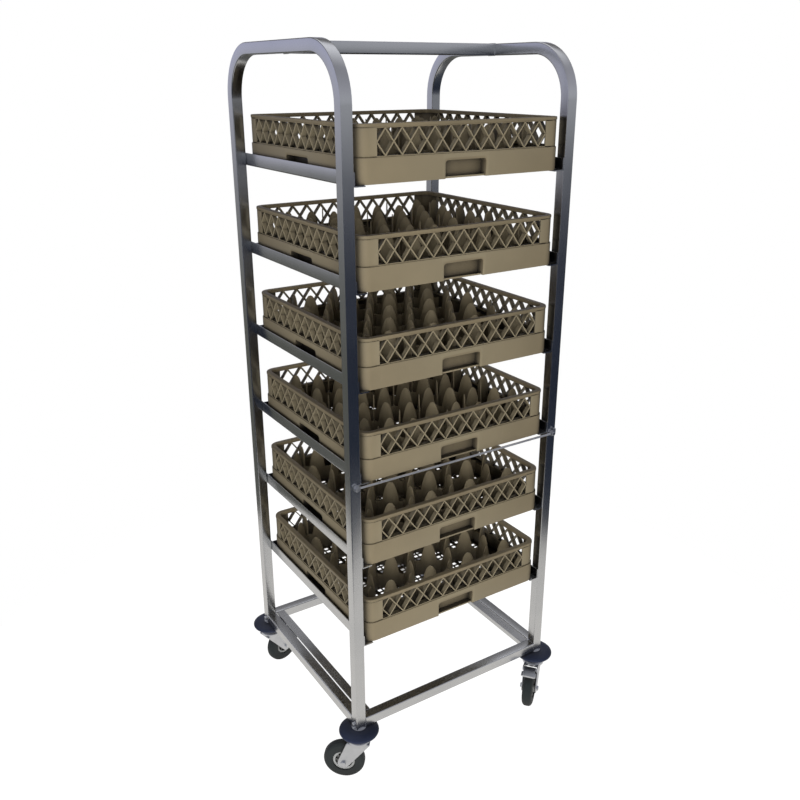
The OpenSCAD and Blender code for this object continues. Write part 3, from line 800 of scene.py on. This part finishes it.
@dataclass
class Rack:
    """Plastic rack: skirt with hand holds, lattice of deep struts, rim, open floor and crested dividers.

    Depths run in from the walls' outer faces, and heights up from the rack's underside.
    """

    shop: Workshop
    tier: int
    base: float
    crossways: bool
    side: float = 500.0
    middle_y: float = -9.0
    round: float = 28.0
    high: float = 109.0
    wall: float = 5.0
    skirt: float = 48.5
    recess: float = 2.0
    deep: float = 14.0
    rim_face: float = 1.0
    rim_high: float = 6.0
    band_low: float = 51.0
    band_high: float = 100.5
    strut: float = 3.0
    strut_edge: float = 0.55
    strut_lap: float = 1.0
    strut_least: float = 0.1
    lattice: float = 410.0
    diamonds: int = 11
    hold: float = 50.0
    hold_high: float = 35.0
    hold_round: float = 6.0
    block: float = 56.0
    block_high: float = 40.0
    block_lap: float = 0.02
    floor_low: float = 0.6
    floor_high: float = 4.0
    floor_half: float = 245.5
    floor_notch: float = 229.0
    floor_margin: float = 26.0
    floor_gaps: int = 9
    rib: float = 8.0
    slim_rib: float = 2.6
    cell: float = 113.5
    row: float = 90.8
    zigzags: int = 5
    zigzag_half: int = 4
    divider_inset: float = 21.0
    divider_half: float = 1.2
    divider_foot: float = 3.6
    crest_half: float = 21.0
    crest_power: float = 2.4
    peak: float = 96.0
    dip: float = 44.0
    post_half: float = 1.9
    post_round: float = 1.2
    post_flare: float = 1.05

    def make(self, what: str, patches: Sequence[Patch]) -> None:
        """Makes one of the rack's pieces, which stands for the CAD node of the same kind."""
        self.shop.piece(f"rack_{self.tier}_{what}", patches, TAUPE, f"rack_{self.tier}", [f"{what}_{self.tier}"])

    def put(self, patches: Sequence[Patch], quarter: int = 0) -> list[Patch]:
        """Puts patches in the rack's place, turned by a number of quarter turns."""
        return placed(patches, matrix(90.0 * quarter, (0, self.middle_y, self.base)))

    def corner_path(self, start: float) -> tuple[Array, Array]:
        """Path along the front wall from a distance right of its middle, round the corner and along the side wall.

        Args:
            start: Distance from the middle at which the path starts and ends.

        Returns:
            Points on the outer face at zero height, and the directions into the rack.
        """
        half, flat = self.side / 2, self.side / 2 - self.round
        a = np.linspace(0, np.pi / 2, 9)
        out = np.stack([np.sin(a), -np.cos(a)], -1)
        line = np.concatenate([[[start, -half]], np.array([flat, -flat]) + self.round * out, [[half, -start]]])
        into = np.concatenate([[[0, 1]], -out, [[-1, 0]]])
        return raised(line, 0.0), raised(into, 0.0)

    def along_corner(self, profile: Array, start: float) -> list[Patch]:
        """Carries a section (depth, height) along a corner path."""
        return sweep(profile, *self.corner_path(start), UPWARDS)

    def straight(self, profile: Array, reach: float) -> list[Patch]:
        """Carries a section (depth, height) along the front wall between two ends."""
        path = np.array([[-reach, -self.side / 2, 0], [reach, -self.side / 2, 0]])
        return sweep(profile, path, ALONG_Y, UPWARDS)

    def hold_line(self, out: float) -> Array:
        """Outline of the hand hold's notch, moved out: up one side, over the rounded top and down the other.

        Args:
            out: Distance from the notch's own outline.

        Returns:
            Points (x, height), from the left foot to the right one.
        """
        w, h, r = self.hold + out, self.hold_high + out, self.hold_round + out
        a = np.linspace(np.pi, np.pi / 2, 7)
        left = np.stack([r * np.cos(a) + r - w, r * np.sin(a) + h - r], -1)
        return mirrored(np.concatenate([[[-w, 0.0]], left]), (-1, 1))

    def hold_block(self) -> list[Patch]:
        """Skirt round a hand hold: front strip between the notch and a rectangle, rounded lip, pocket and its back.

        Returns:
            The block's closed skin, for the front wall.
        """
        face, w, h = -self.side / 2, self.block, self.block_high
        x = np.array([-w, -w, -w, -53.0, -50.0, -46.0, -30.0, -12.0])
        z = np.array([0.0, h / 2, h, h, h, h, h, h])
        frame = mirrored(np.stack([x, z], -1), (-1, 1))
        inside = [upright(frame, face)]
        inside += [upright(self.hold_line(out), face + deep) for out, deep in HOLD_INSIDE]
        outside = [upright(frame, face + self.wall)]
        outside += [upright(self.hold_line(out), face + deep) for out, deep in HOLD_OUTSIDE]
        back, behind = inside[-1], outside[-1]
        sole = np.stack([[inside[i][0] for i in (0, 1, 2, 3, 4, 4)], [outside[i][0] for i in (0, 1, 1, 1, 2, 3)]])
        foot = np.stack([back[[0, -1]], behind[[0, -1]]])
        rest = (np.stack([inside[0], outside[0]]), sole, sole * (-1, 1, 1), foot)
        made = [surface(np.stack(inside)), cap(back), surface(np.stack(outside)), cap(behind)]
        return made + [surface(grid) for grid in rest]

    def strut_bars(self) -> list[Patch]:
        """Struts of the lattice on one wall: chamfered bars, deep along Y, in two slanting families.

        Strut i of a family runs from the lower band at i pitches to the upper band one pitch on, and is cut
        at the ends of the lattice, so the two families cross at mid height and meet at both bands. An end at
        a band laps into it. A strut of which too small a share is left is not made. The second family is a
        little less deep, so that no two faces coincide.

        Returns:
            The bars' skins.
        """
        pitch = self.lattice / self.diamonds
        slope = pitch / (self.band_high - self.band_low)
        limit = self.lattice / 2 + self.strut_lap
        z = np.array([self.band_low, self.band_high])
        laps = np.array([[-slope, -1.0], [slope, 1.0]]) * self.strut_lap
        made: list[Patch] = []
        for lean, inset in ((1, 0.0), (-1, 0.25)):
            low, high = (-self.strut / 2, self.recess + inset), (self.strut / 2, self.deep - inset)
            section = box_profile(low, high, self.strut_edge, 2)
            for i in range(-1, self.diamonds + 1):
                x = np.array([i + 0.5, i + 1.5]) * pitch - self.lattice / 2
                share = np.clip((np.array([-limit, limit]) - x[0]) / (x[1] - x[0]), 0, 1)
                if share[1] - share[0] < self.strut_least:
                    continue
                ends = np.stack([x[0] + share * (x[1] - x[0]), z[0] + share * (z[1] - z[0])], -1)
                ends += laps * np.isclose(share, [0, 1])[:, None]
                way = ends[1] - ends[0]
                across = np.array([way[1], 0, -way[0] * lean]) / np.linalg.norm(way)
                made += sweep(section, upright(ends * (lean, 1), -self.side / 2), across, ALONG_Y)
        return made

    def walls(self) -> None:
        """Skirt, lattice and rim of the four walls."""
        shoulder = [(self.wall, self.band_low, 0.5), (self.recess, self.band_low, 0.5),
                    (self.recess, self.skirt, 0.4), (0, self.skirt, 0.9)]
        skirt = rounded([(0, 0, 1.0), (self.wall, 0, 1.0), *shoulder])
        over_hold = rounded([(0, self.block_high, 0), (self.wall, self.block_high, 0), *shoulder])
        # The panel and the band lap into the skirt and the rim
        panel = box_profile((self.recess, self.skirt - 1), (self.wall, self.band_high + 3), 0.4, 3)
        band = box_profile((self.recess + 0.1, self.skirt - 2.5), (self.deep, self.band_low), 0.6, 3)
        lip = self.high - self.rim_high
        rim = rounded([(self.recess, self.band_high, 0.5), (self.deep, self.band_high, 0.8),
                       (self.deep, self.high, 1.6), (self.rim_face, self.high, 1.8),
                       (self.rim_face, lip, 0.6), (self.recess, lip, 0.4)], 5)
        reach = self.lattice / 2
        wall = self.along_corner(skirt, self.block) + self.straight(over_hold, self.block + self.block_lap)
        wall += self.hold_block() + self.along_corner(panel, reach) + self.straight(band, reach + 3) + self.strut_bars()
        patches = [patch for quarter in range(4) for patch in self.put(wall, quarter)]
        turns = [matrix(90.0 * quarter)[:3, :3].T for quarter in range(4)]
        loop, inward = (np.concatenate([line[1:] @ turn for turn in turns]) for line in self.corner_path(0.0))
        self.make("walls", patches + self.put(sweep(rim, loop, inward, UPWARDS, closed=True)))

    def floor(self) -> None:
        """Open floor: a plate on a grid of wide ribs, with two slim ribs in each gap between them."""
        span = self.side - 2 * self.floor_margin
        pitch = span / self.floor_gaps
        hole = (pitch - self.rib - 2 * self.slim_rib) / 3
        gaps = np.arange(self.floor_gaps)[:, None] * pitch - span / 2 + self.rib / 2
        starts = (gaps + np.arange(3) * (hole + self.slim_rib)).ravel()
        edges = np.array([self.floor_notch, self.floor_half])
        lines = np.sort(np.concatenate([starts, starts + hole, edges, -edges]))
        open_line = np.zeros(len(lines) - 1, bool)
        open_line[2:-2:2] = True
        solid = ~(open_line[:, None] & open_line[None, :])
        solid[[0, 0, -1, -1], [0, -1, 0, -1]] = False
        self.make("floor", self.put([plate_with_gaps(lines, lines, solid, self.floor_low, self.floor_high)]))

    def crest(self, length: float) -> list[Patch]:
        """Divider along X with a bell-shaped crest at its middle; its section is an upright strip with a round top.

        Height over the dip is the crest's rise times 1 minus a power of the share of its half width.

        Args:
            length: Length of the divider.

        Returns:
            The divider's skin, closed at both ends.
        """
        bell = np.sin(np.linspace(-np.pi / 2, np.pi / 2, 15)) * 2 * self.crest_half / length
        along = np.clip(np.concatenate([[-1.0], bell, [1.0]]), -1, 1) * length / 2
        rise = np.clip(1 - np.abs(along / self.crest_half) ** self.crest_power, 0, 1)
        a, half = np.linspace(np.pi, 0, 8), self.divider_half
        across = np.concatenate([[-half], half * np.cos(a), [half]])
        drop = np.concatenate([[0], half * (1 - np.sin(a)), [0]])
        z = (self.dip + (self.peak - self.dip) * rise)[:, None] - drop[None]
        z[:, [0, -1]] = self.divider_foot
        return capped(np.stack([*np.broadcast_arrays(along[:, None], across[None]), z], -1))

    def comb(self) -> tuple[Array, Array]:
        """Plan of the dividers: rows of six-sided compartments, each row half a compartment on from the last.

        A zigzag line runs between two rows. Its corners lean by turns to the one row and the other, and from each
        corner a straight divider crosses the row that it leans to.

        Returns:
            First and last points of the dividers, and the zigzags' corners.
        """
        limit = self.side / 2 - self.divider_inset
        step = self.cell / 2
        lean = step / (2 * math.sqrt(3.0))
        place = np.arange(-self.zigzag_half, self.zigzag_half + 1)
        x = place * step
        x[[0, -1]] = -limit, limit
        middle = self.zigzags // 2
        corners, first, last = [], [], []
        for line in range(self.zigzags):
            y = (line - middle) * self.row
            up = (place + line) % 2 == 1
            zigzag = np.stack([x, y + np.where(up, lean, -lean)], -1)
            far = zigzag[1:-1][up[1:-1]]
            end = limit if line == self.zigzags - 1 else y + self.row - lean
            corners.append(zigzag[1:-1])
            first += [zigzag[:-1], far]
            last += [zigzag[1:], np.stack([far[:, 0], np.full(len(far), end)], -1)]
        near = corners[0][corners[0][:, 1] < -middle * self.row]
        first.append(near)
        last.append(np.stack([near[:, 0], np.full(len(near), -limit)], -1))
        return np.stack([np.concatenate(first), np.concatenate(last)], 1), np.concatenate(corners)

    def slats(self) -> None:
        """Dividers of the compartments, with a slim post at each corner of the zigzags."""
        spans, corners = self.comb()
        patches: list[Patch] = []
        for start, end in spans:
            way = end - start
            turn = math.degrees(math.atan2(way[1], way[0]))
            patches += placed(self.crest(float(np.linalg.norm(way))), matrix(turn, (*(start + end) / 2, 0)))
        half = self.post_half
        section = box_profile((-half, -half), (half, half), self.post_round, 3)
        level = np.array([self.divider_foot, *(self.dip + over for over, _ in POST_TOP)])
        size = np.array([self.post_flare, *(share for _, share in POST_TOP)])
        post = capped(raised(section[None] * size[:, None, None], level[:, None]))
        for corner in corners:
            patches += placed(post, matrix(0, (*corner, 0)))
        self.make("slats", self.put(placed(patches, matrix(-90.0 if self.crossways else 0.0))))

    def build(self) -> None:
        """Makes the rack's pieces."""
        self.walls()
        self.floor()
        self.slats()


# Tie rod

# Stud's turned outline: radius and distance from the post's face
STUD_LINE = ((0, 0), (6, 0), (6, 1.1), (5.6, 1.5), (3, 1.5), (3, 7.9), (4.4, 7.9), (5, 8.3), (5, 9.6), (4.2, 10.4),
             (0, 10.4))


@dataclass
class TieRod:
    """Rod across the front, hung on two studs."""

    shop: Workshop
    post_x: float = 270.5
    face_y: float = -262.5
    y: float = -267.2
    z: float = 781.2
    reach: float = 263.5
    thick: float = 5.0

    def build(self) -> None:
        """Makes the rod from a round section, the studs as turned pieces, and dresses the rod's ends."""
        section = circle(20) * self.thick / 2
        skin = bar(section, (-self.reach, self.y, self.z), (self.reach, self.y, self.z), UPWARDS)
        self.shop.piece("rod_bar", skin, ZINC, "tie_rod", ["rod"])
        self.shop.dress("rod_ends", ZINC)
        stud = revolve(np.array(STUD_LINE), 32)
        for node, side in (("pivot_stud", Side.LEFT), ("keeper_stud", Side.RIGHT)):
            place = matrix(0, (side * self.post_x, self.face_y, self.z), (90.0, "X"))
            self.shop.piece(node + "_turned", [stud.placed(place)], ZINC, "frame", [node])


# Castors

# Turned outlines: radius, height and radius of the corner; tyre and hub are one half of each, from the wheel's middle
TYRE_LINE = ((27.2, 0, 0), (27.2, 12.4, 0.5), (29, 13, 1.5), (42.5, 13, 3.0), (47.5, 10.2, 2.6), (50, 5.5, 2.4),
             (50, 0, 0))
HUB_LINE = ((4.1, 0, 0), (4.1, 16.8, 0.5), (11.4, 16.8, 1.2), (12.4, 4.6, 1.8), (20.4, 4.0, 2.0), (21, 10, 0.8),
            (27, 10, 1.0), (27, 0, 0))
STEM_LINE = ((0, 102.4, 0), (6, 102.4, 0.6), (6, 126.7, 0.2), (14, 126.7, 0.6), (14, 129.7, 0.5), (10, 129.7, 0.2),
             (10, 147.7, 0.2), (17, 147.7, 0.4), (17, 149.2, 0.4), (0, 149.2, 0))
CROWN_LINE = ((6.1, 108, 0.4), (28, 108, 1.0), (28, 114.8, 1.2), (19.5, 123.0, 3.0), (17.6, 126.5, 0.8),
              (6.1, 126.5, 0.4))


@dataclass
class Castor:
    """Swivel castor: stem, buffer disc, fork, axle bolt, hub and tyre.

    Heights run up from the floor. In the fork's own frame X runs back from the swivel axis to the axle.
    """

    shop: Workshop
    corner: Corner
    post_x: float = 270.5
    post_y: float = 250.0
    trail: float = 37.0
    wheel_r: float = 50.0
    rib_half: float = 1.2
    rib_wide: float = 8.6
    rib_start: float = 11.0
    rib_end: float = 21.6
    ribs: int = 8
    disc_r: float = 47.5
    disc_z: float = 138.7
    disc_half: float = 9.0
    disc_bore: float = 10.1
    disc_fall: float = 0.34
    disc_power: float = 2.3
    plug_half: float = 11.0
    plug_low: float = 149.0
    plug_high: float = 194.0
    nut_z: float = 107.8
    lock_x: float = 12.6
    lock_z: float = 159.2
    fork_half: float = 19.5
    leg_foot: float = 14.0
    leg_half: float = 27.44
    leg_low: float = 108.0
    leg_top: float = 110.5
    leg_bend: float = 3.4
    leg_end: float = 8.0
    sheet: float = 2.5
    soft: float = 0.7
    soft_middle: float = 0.2
    pin_x: float = 43.0
    pin_z: float = 112.0
    pin_r: float = 2.5
    pin_chamfer: float = 0.4
    ear_x: tuple[float, float] = (1.0, 26.4)
    ear_y: float = 18.25
    ear_z: tuple[float, float] = (103.0, 109.5)
    ear_corner: float = 1.0
    ear_round: float = 6.0
    ear_thick: float = 2.46
    ear_edge: float = 0.8
    axle_r: float = 4.0
    axle_lap: float = 0.1

    @property
    def middle(self) -> Triple:
        """Foot of the swivel axis on the floor."""
        return self.corner.side_x * self.post_x, self.corner.side_y * self.post_y, 0.0

    def make(self, what: str, ending: str, patches: Sequence[Patch], kind: Finish, body: str) -> None:
        """Makes one of the castor's pieces, which stands for the CAD node of that kind at this corner."""
        key = self.corner.key
        self.shop.piece(f"{what}_{key}_{ending}", patches, kind, body, [f"{what}_{key}"])

    def on_post(self, patches: Sequence[Patch]) -> list[Patch]:
        """Puts patches round the swivel axis, unturned."""
        return placed(patches, matrix(0, self.middle))

    def on_swivel(self, patches: Sequence[Patch]) -> list[Patch]:
        """Puts patches from the fork's own frame in the castor's place."""
        return placed(patches, matrix(self.corner.turn, self.middle))

    def on_axle(self, patches: Sequence[Patch]) -> list[Patch]:
        """Puts patches turned round Z on the wheel's axle."""
        return self.on_swivel(placed(patches, matrix(0, (self.trail, 0, self.wheel_r), (90.0, "X"))))

    def tyre(self) -> None:
        """Tyre: a rounded section turned round the axle."""
        ring = revolve(mirrored(rounded(TYRE_LINE, 5), (1, -1)), 96)
        self.make("tyre", "ring", self.on_axle([ring]), TYRE, f"wheel_{self.corner.key}")

    def hub(self) -> None:
        """Hub: boss, dished web and rim turned round the axle, with ribs between boss and rim."""
        patches = [revolve(mirrored(rounded(HUB_LINE, 5), (1, -1)), 72)]
        section = box_profile((-self.rib_half, -self.rib_wide), (self.rib_half, self.rib_wide), 0.6, 3)
        rib = sweep(section, np.array([[self.rib_start, 0, 0], [self.rib_end, 0, 0]]), ALONG_Y, UPWARDS)
        for i in range(self.ribs):
            patches += placed(rib, matrix(i * 360.0 / self.ribs))
        self.make("hub", "wheel", self.on_axle(patches), HUB, f"wheel_{self.corner.key}")

    def disc(self) -> None:
        """Buffer disc: its radius falls from the full one by a share that goes with a power of the height."""
        t = np.sin(np.linspace(-np.pi / 2, np.pi / 2, 25))
        r = self.disc_r * (1 - self.disc_fall * np.abs(t) ** self.disc_power)
        rim = np.stack([r, self.disc_z + self.disc_half * t], -1)
        low, high = ([[self.disc_bore, self.disc_z + end * self.disc_half]] for end in (-1, 1))
        line = np.concatenate([low, rim, high, low])
        self.make("disc", "lens", self.on_post([revolve(line, 72)]), NAVY, "frame")

    def stem(self) -> None:
        """Stem: king pin, washer, seat and flange as one turned line, with plug, king nut and lock bolt."""
        half, side = self.plug_half, self.corner.side_x
        section = box_profile((-half, -half), (half, half), 2.5)
        plug = bar(section, (0, 0, self.plug_low), (0, 0, self.plug_high), ALONG_Y)
        nut = hex_head(across=22.0, high=6.0, chamfer=0.8)
        nut = placed(nut, matrix(20.0, (0, 0, self.nut_z), (180.0, "X")))
        lock = hex_head(across=11.0, high=4.0, chamfer=0.7)
        lock = placed(lock, matrix(0, (side * self.lock_x, 0, self.lock_z), (side * 90.0, "Y")))
        self.make("stem", "plug", self.on_post([revolve(rounded(STEM_LINE)), *plug, *nut, *lock]), ZINC, "frame")

    def leg(self) -> list[Patch]:
        """Pressed fork leg: a strip carried up from a round foot, bent over at the top and on under the crown.

        The strip's width at each height lies between the tangents from the foot's circle to the top's corners.

        Returns:
            The strip's skin, for the leg on the +Y side.
        """
        foot, half, thick, bend, top = self.leg_foot, self.leg_half, self.sheet, self.leg_bend, self.leg_top
        a = np.linspace(0, np.pi / 2, 9)
        rise = np.concatenate([self.wheel_r - foot * np.cos(a), np.linspace(self.wheel_r, top - bend, 9)[1:]])
        corners = np.array([[-half, self.leg_low], [half, self.leg_low], [half, top], [-half, top]])
        line, _ = hull_outline(np.concatenate([corners, disc_points(self.trail, self.wheel_r, foot)]), 240)
        line = line[np.argsort(line[:, 1])]
        low = self.wheel_r - foot
        lean = line[:, 0] - self.trail * (top - line[:, 1]) / (top - low)
        turn = np.linspace(0, np.pi / 2, 7)[1:]
        flat = np.full(len(turn) + 1, half)
        x0 = np.concatenate([np.interp(rise, line[lean <= 0, 1], line[lean <= 0, 0]), -flat])
        x1 = np.concatenate([np.interp(rise, line[lean >= 0, 1], line[lean >= 0, 0]), flat])
        middle = bend - thick / 2
        post = np.full(len(rise), self.fork_half - thick / 2)
        y = np.concatenate([post, self.fork_half - bend + middle * np.cos(turn), [self.leg_end]])
        z = np.concatenate([rise, top - bend + middle * np.sin(turn), [top - thick / 2]])
        angle = np.concatenate([np.zeros(len(rise)), turn, [np.pi / 2]])[:, None]
        # Each edge of the strip is eased over three points
        bevel = np.array([self.soft, self.soft_middle, 0.0])
        inset = mirrored(bevel, 1)
        level = mirrored(mirrored(thick / 2 - bevel[::-1], -1), 1)
        room = np.minimum(1.0, (x1 - x0) / (2.2 * self.soft))[:, None]
        x = np.concatenate([x0[:, None] + inset * room, x1[:, None] - inset * room], 1)
        grid = np.stack([x, y[:, None] + np.cos(angle) * level, z[:, None] + np.sin(angle) * level], -1)
        return [surface(grid, loop_v=True), cap(grid[-1])]

    def fork(self) -> None:
        """Fork: a turned crown and two pressed legs, with ears for the brake's pin where there is one."""
        line = rounded(CROWN_LINE, 5)
        patches = [revolve(np.concatenate([line, line[:1]]), 64)]
        plates = self.leg()
        if self.corner.braked:
            corners = [disc_points(x, z, self.ear_corner) for x in self.ear_x for z in self.ear_z]
            wraps = np.concatenate([*corners, disc_points(self.pin_x, self.pin_z, self.ear_round)])
            plates += placed(slab(wraps, self.ear_thick, self.ear_edge), matrix(0, (0, self.ear_y, 0)))
            r, end, chamfer = self.pin_r, self.fork_half, self.pin_chamfer
            pin = mirrored(np.array([[0.0, -end], [r - chamfer, -end], [r, chamfer - end]]), (1, -1))
            patches += placed([revolve(pin, 20)], matrix(0, (self.pin_x, 0, self.pin_z), (90.0, "X")))
        patches += plates + placed(plates, np.diag([1.0, -1.0, 1.0, 1.0]))
        self.make("fork", "legs", self.on_swivel(patches), ZINC, f"swivel_{self.corner.key}")

    def axle(self) -> None:
        """Axle bolt with a chamfered head and nut."""
        end = self.fork_half + self.axle_lap
        line = mirrored(np.array([[0.0, -end], [self.axle_r, -end]]), (1, -1))
        head = hex_head(across=13.0, high=5.0, chamfer=0.8)
        ends = placed(head, matrix(0, (0, 0, self.fork_half)))
        ends += placed(head, matrix(15.0, (0, 0, -self.fork_half), (180.0, "X")))
        self.make("axle", "bolt", self.on_axle([revolve(line, 24), *ends]), ZINC, f"swivel_{self.corner.key}")

    def build(self) -> None:
        """Makes the castor's pieces and dresses its pedal."""
        self.stem()
        self.disc()
        self.fork()
        self.axle()
        self.hub()
        self.tyre()
        if self.corner.braked:
            self.shop.dress(f"pedal_{self.corner.key}", ZINC)


# Studio

WHITE = (1.0, 1.0, 1.0, 1.0)
# Level of the room's diffuse light
AMBIENT = 0.085
# Room that metal shows in front of the dolly, from straight down (0) to straight up (1)
ROOM_FRONT = ((0.0, (0.10, 0.11, 0.13)), (0.36, (0.010, 0.016, 0.034)), (0.44, (0.045, 0.050, 0.072)),
              (0.485, (0.40, 0.405, 0.42)), (0.53, (0.52, 0.53, 0.57)), (0.70, (0.43, 0.43, 0.48)),
              (1.0, (0.30, 0.30, 0.33)))
# Room that metal shows behind the dolly
ROOM_BEHIND = ((0.0, (0.12, 0.12, 0.13)), (0.36, (0.12, 0.122, 0.105)), (0.44, (0.27, 0.27, 0.275)),
               (0.485, (0.55, 0.55, 0.63)), (0.53, (0.57, 0.58, 0.76)), (0.60, (0.42, 0.42, 0.52)),
               (0.70, (0.15, 0.145, 0.145)), (0.81, (0.15, 0.145, 0.145)), (0.86, (0.95, 0.95, 1.0)),
               (1.0, (0.95, 0.95, 1.0)))
# Share of Y within which the front room turns into the one behind
ROOM_TURN = 0.35


@dataclass
class Studio:
    """White floor and backdrop, soft lights and the photograph's camera; lengths are in metres."""

    floor_half: float = 1.25
    floor_drop: float = 0.0008
    floor_tone: float = 0.55
    floor_rough: float = 0.9
    floor_seen: float = 0.30
    floor_glow: float = 0.97
    floor_mirrored: tuple[float, float, float, float] = (1.0, 0.965, 0.92, 1.0)
    floor_shine: float = 0.76
    place: Triple = (-1.04725, -1.65635, 1.58952)
    yaw: float = 32.470
    pitch: float = 21.001
    roll: float = 0.190
    lens: float = 38.285
    sensor: float = 36.0

    def camera(self) -> None:
        """Camera at the photograph's place, with its axes worked out from yaw, pitch and roll."""
        yaw, pitch, roll = (math.radians(v) for v in (self.yaw, self.pitch, self.roll))
        ahead = Vector((math.sin(yaw) * math.cos(pitch), math.cos(yaw) * math.cos(pitch), -math.sin(pitch)))
        right = Vector((math.cos(yaw), -math.sin(yaw), 0))
        down = ahead.cross(right)
        x = math.cos(roll) * right + math.sin(roll) * down
        y = math.sin(roll) * right - math.cos(roll) * down
        data = bpy.data.cameras.new("photo_camera")
        data.sensor_fit = "HORIZONTAL"
        data.sensor_width = self.sensor
        data.lens = self.lens
        made = bpy.data.objects.new("photo_camera", data)
        made.matrix_world = Matrix.Translation(self.place) @ Matrix((x, y, -ahead)).transposed().to_4x4()
        bpy.context.scene.collection.objects.link(made)
        bpy.context.scene.camera = made

    def floor(self) -> None:
        """Pale floor that is white to the camera and in reflections, and keeps a soft shadow."""
        radii = np.array([0.0, 0.5, 1.0]) * self.floor_half
        patch = surface(raised(radii[None, :, None] * circle(96)[:, None], -self.floor_drop), loop_u=True)
        mesh = bpy.data.meshes.new("studio_floor")
        mesh.from_pydata(patch.points, [], patch.quads)
        g = Paint("studio_floor")
        g.fill(g.shader, {"Base Color": (*[self.floor_tone] * 3, 1.0), "Roughness": self.floor_rough})
        pale = g.node("ShaderNodeBsdfDiffuse", {"Color": (*[self.floor_seen] * 3, 1.0)}).outputs[0]
        glow = g.node("ShaderNodeEmission", {"Strength": self.floor_glow}).outputs[0]
        seen = g.node("ShaderNodeAddShader", {0: pale, 1: glow}).outputs[0]
        shine = {"Color": self.floor_mirrored, "Strength": self.floor_shine}
        shown = g.node("ShaderNodeEmission", shine).outputs[0]
        g.fill(g.tree.nodes["Material Output"], {"Surface": g.by_ray(g.shader.outputs[0], shown, seen)})
        mesh.materials.append(g.material)
        made = bpy.data.objects.new("studio_floor", mesh)
        bpy.context.scene.collection.objects.link(made)

    def world(self) -> None:
        """White to the camera, a plain level for diffuse light, and for metal a room darker in front than behind."""
        world = bpy.data.worlds.new("studio")
        bpy.context.scene.world = world
        world.use_nodes = True
        g = Graph(world.node_tree)
        g.tree.nodes.clear()
        way = g.node("ShaderNodeTexCoord", {}).outputs["Generated"]
        split = g.node("ShaderNodeSeparateXYZ", {0: way}).outputs
        height = g.spread(split["Z"], 0.0, 1.0, (-1.0, 1.0))
        behind = g.spread(split["Y"], 0.0, 1.0, (-ROOM_TURN, ROOM_TURN))
        room = g.mix(behind, g.ramp(height, ROOM_FRONT), g.ramp(height, ROOM_BEHIND))
        plain, glossy, seen = (
            g.node("ShaderNodeBackground", {"Color": colour, "Strength": strength}).outputs[0]
            for colour, strength in ((WHITE, AMBIENT), (room, 1.0), (WHITE, 1.0)))
        g.node("ShaderNodeOutputWorld", {"Surface": g.by_ray(plain, glossy, seen)})

    def light(self, name: str, place: Triple, aim: Triple, size: float, watts: float) -> None:
        """Soft area light.

        Args:
            name: Its name.
            place: Where it stands.
            aim: Point that it faces.
            size: Length of its sides.
            watts: Its power.
        """
        data = bpy.data.lights.new(name, "AREA")
        data.size = size
        data.energy = watts
        made = bpy.data.objects.new(name, data)
        made.visible_glossy = False
        made.location = place
        made.rotation_euler = (Vector(aim) - Vector(place)).to_track_quat("-Z", "Y").to_euler()
        bpy.context.scene.collection.objects.link(made)

    def build(self) -> None:
        """Makes the studio."""
        bpy.context.scene.view_settings.view_transform = "Standard"
        self.camera()
        self.floor()
        self.world()
        self.light("key", (-2.0, -2.8, 0.95), (0, 0, 0.6), size=2.4, watts=120.0)
        self.light("back", (2.2, 2.6, 1.0), (0, 0, 0.7), size=2.4, watts=85.0)
        LOG.info("made the studio")


# Which way the compartments of racks 1 to 6 are turned
CROSSWAYS = (True, True, False, True, False, False)


def main() -> None:
    """Builds the studio and the dolly."""
    logging.basicConfig(level=logging.INFO, format="%(name)s: %(message)s")
    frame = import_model()
    Studio().build()
    shop = Workshop(frame)
    tube_frame = TubeFrame(shop)
    tube_frame.build()
    for tier, (base, crossways) in enumerate(zip(tube_frame.tiers, CROSSWAYS), 1):
        Rack(shop, tier, base, crossways).build()
    TieRod(shop).build()
    for corner in Corner:
        Castor(shop, corner).build()


if __name__ == "__main__":
    main()
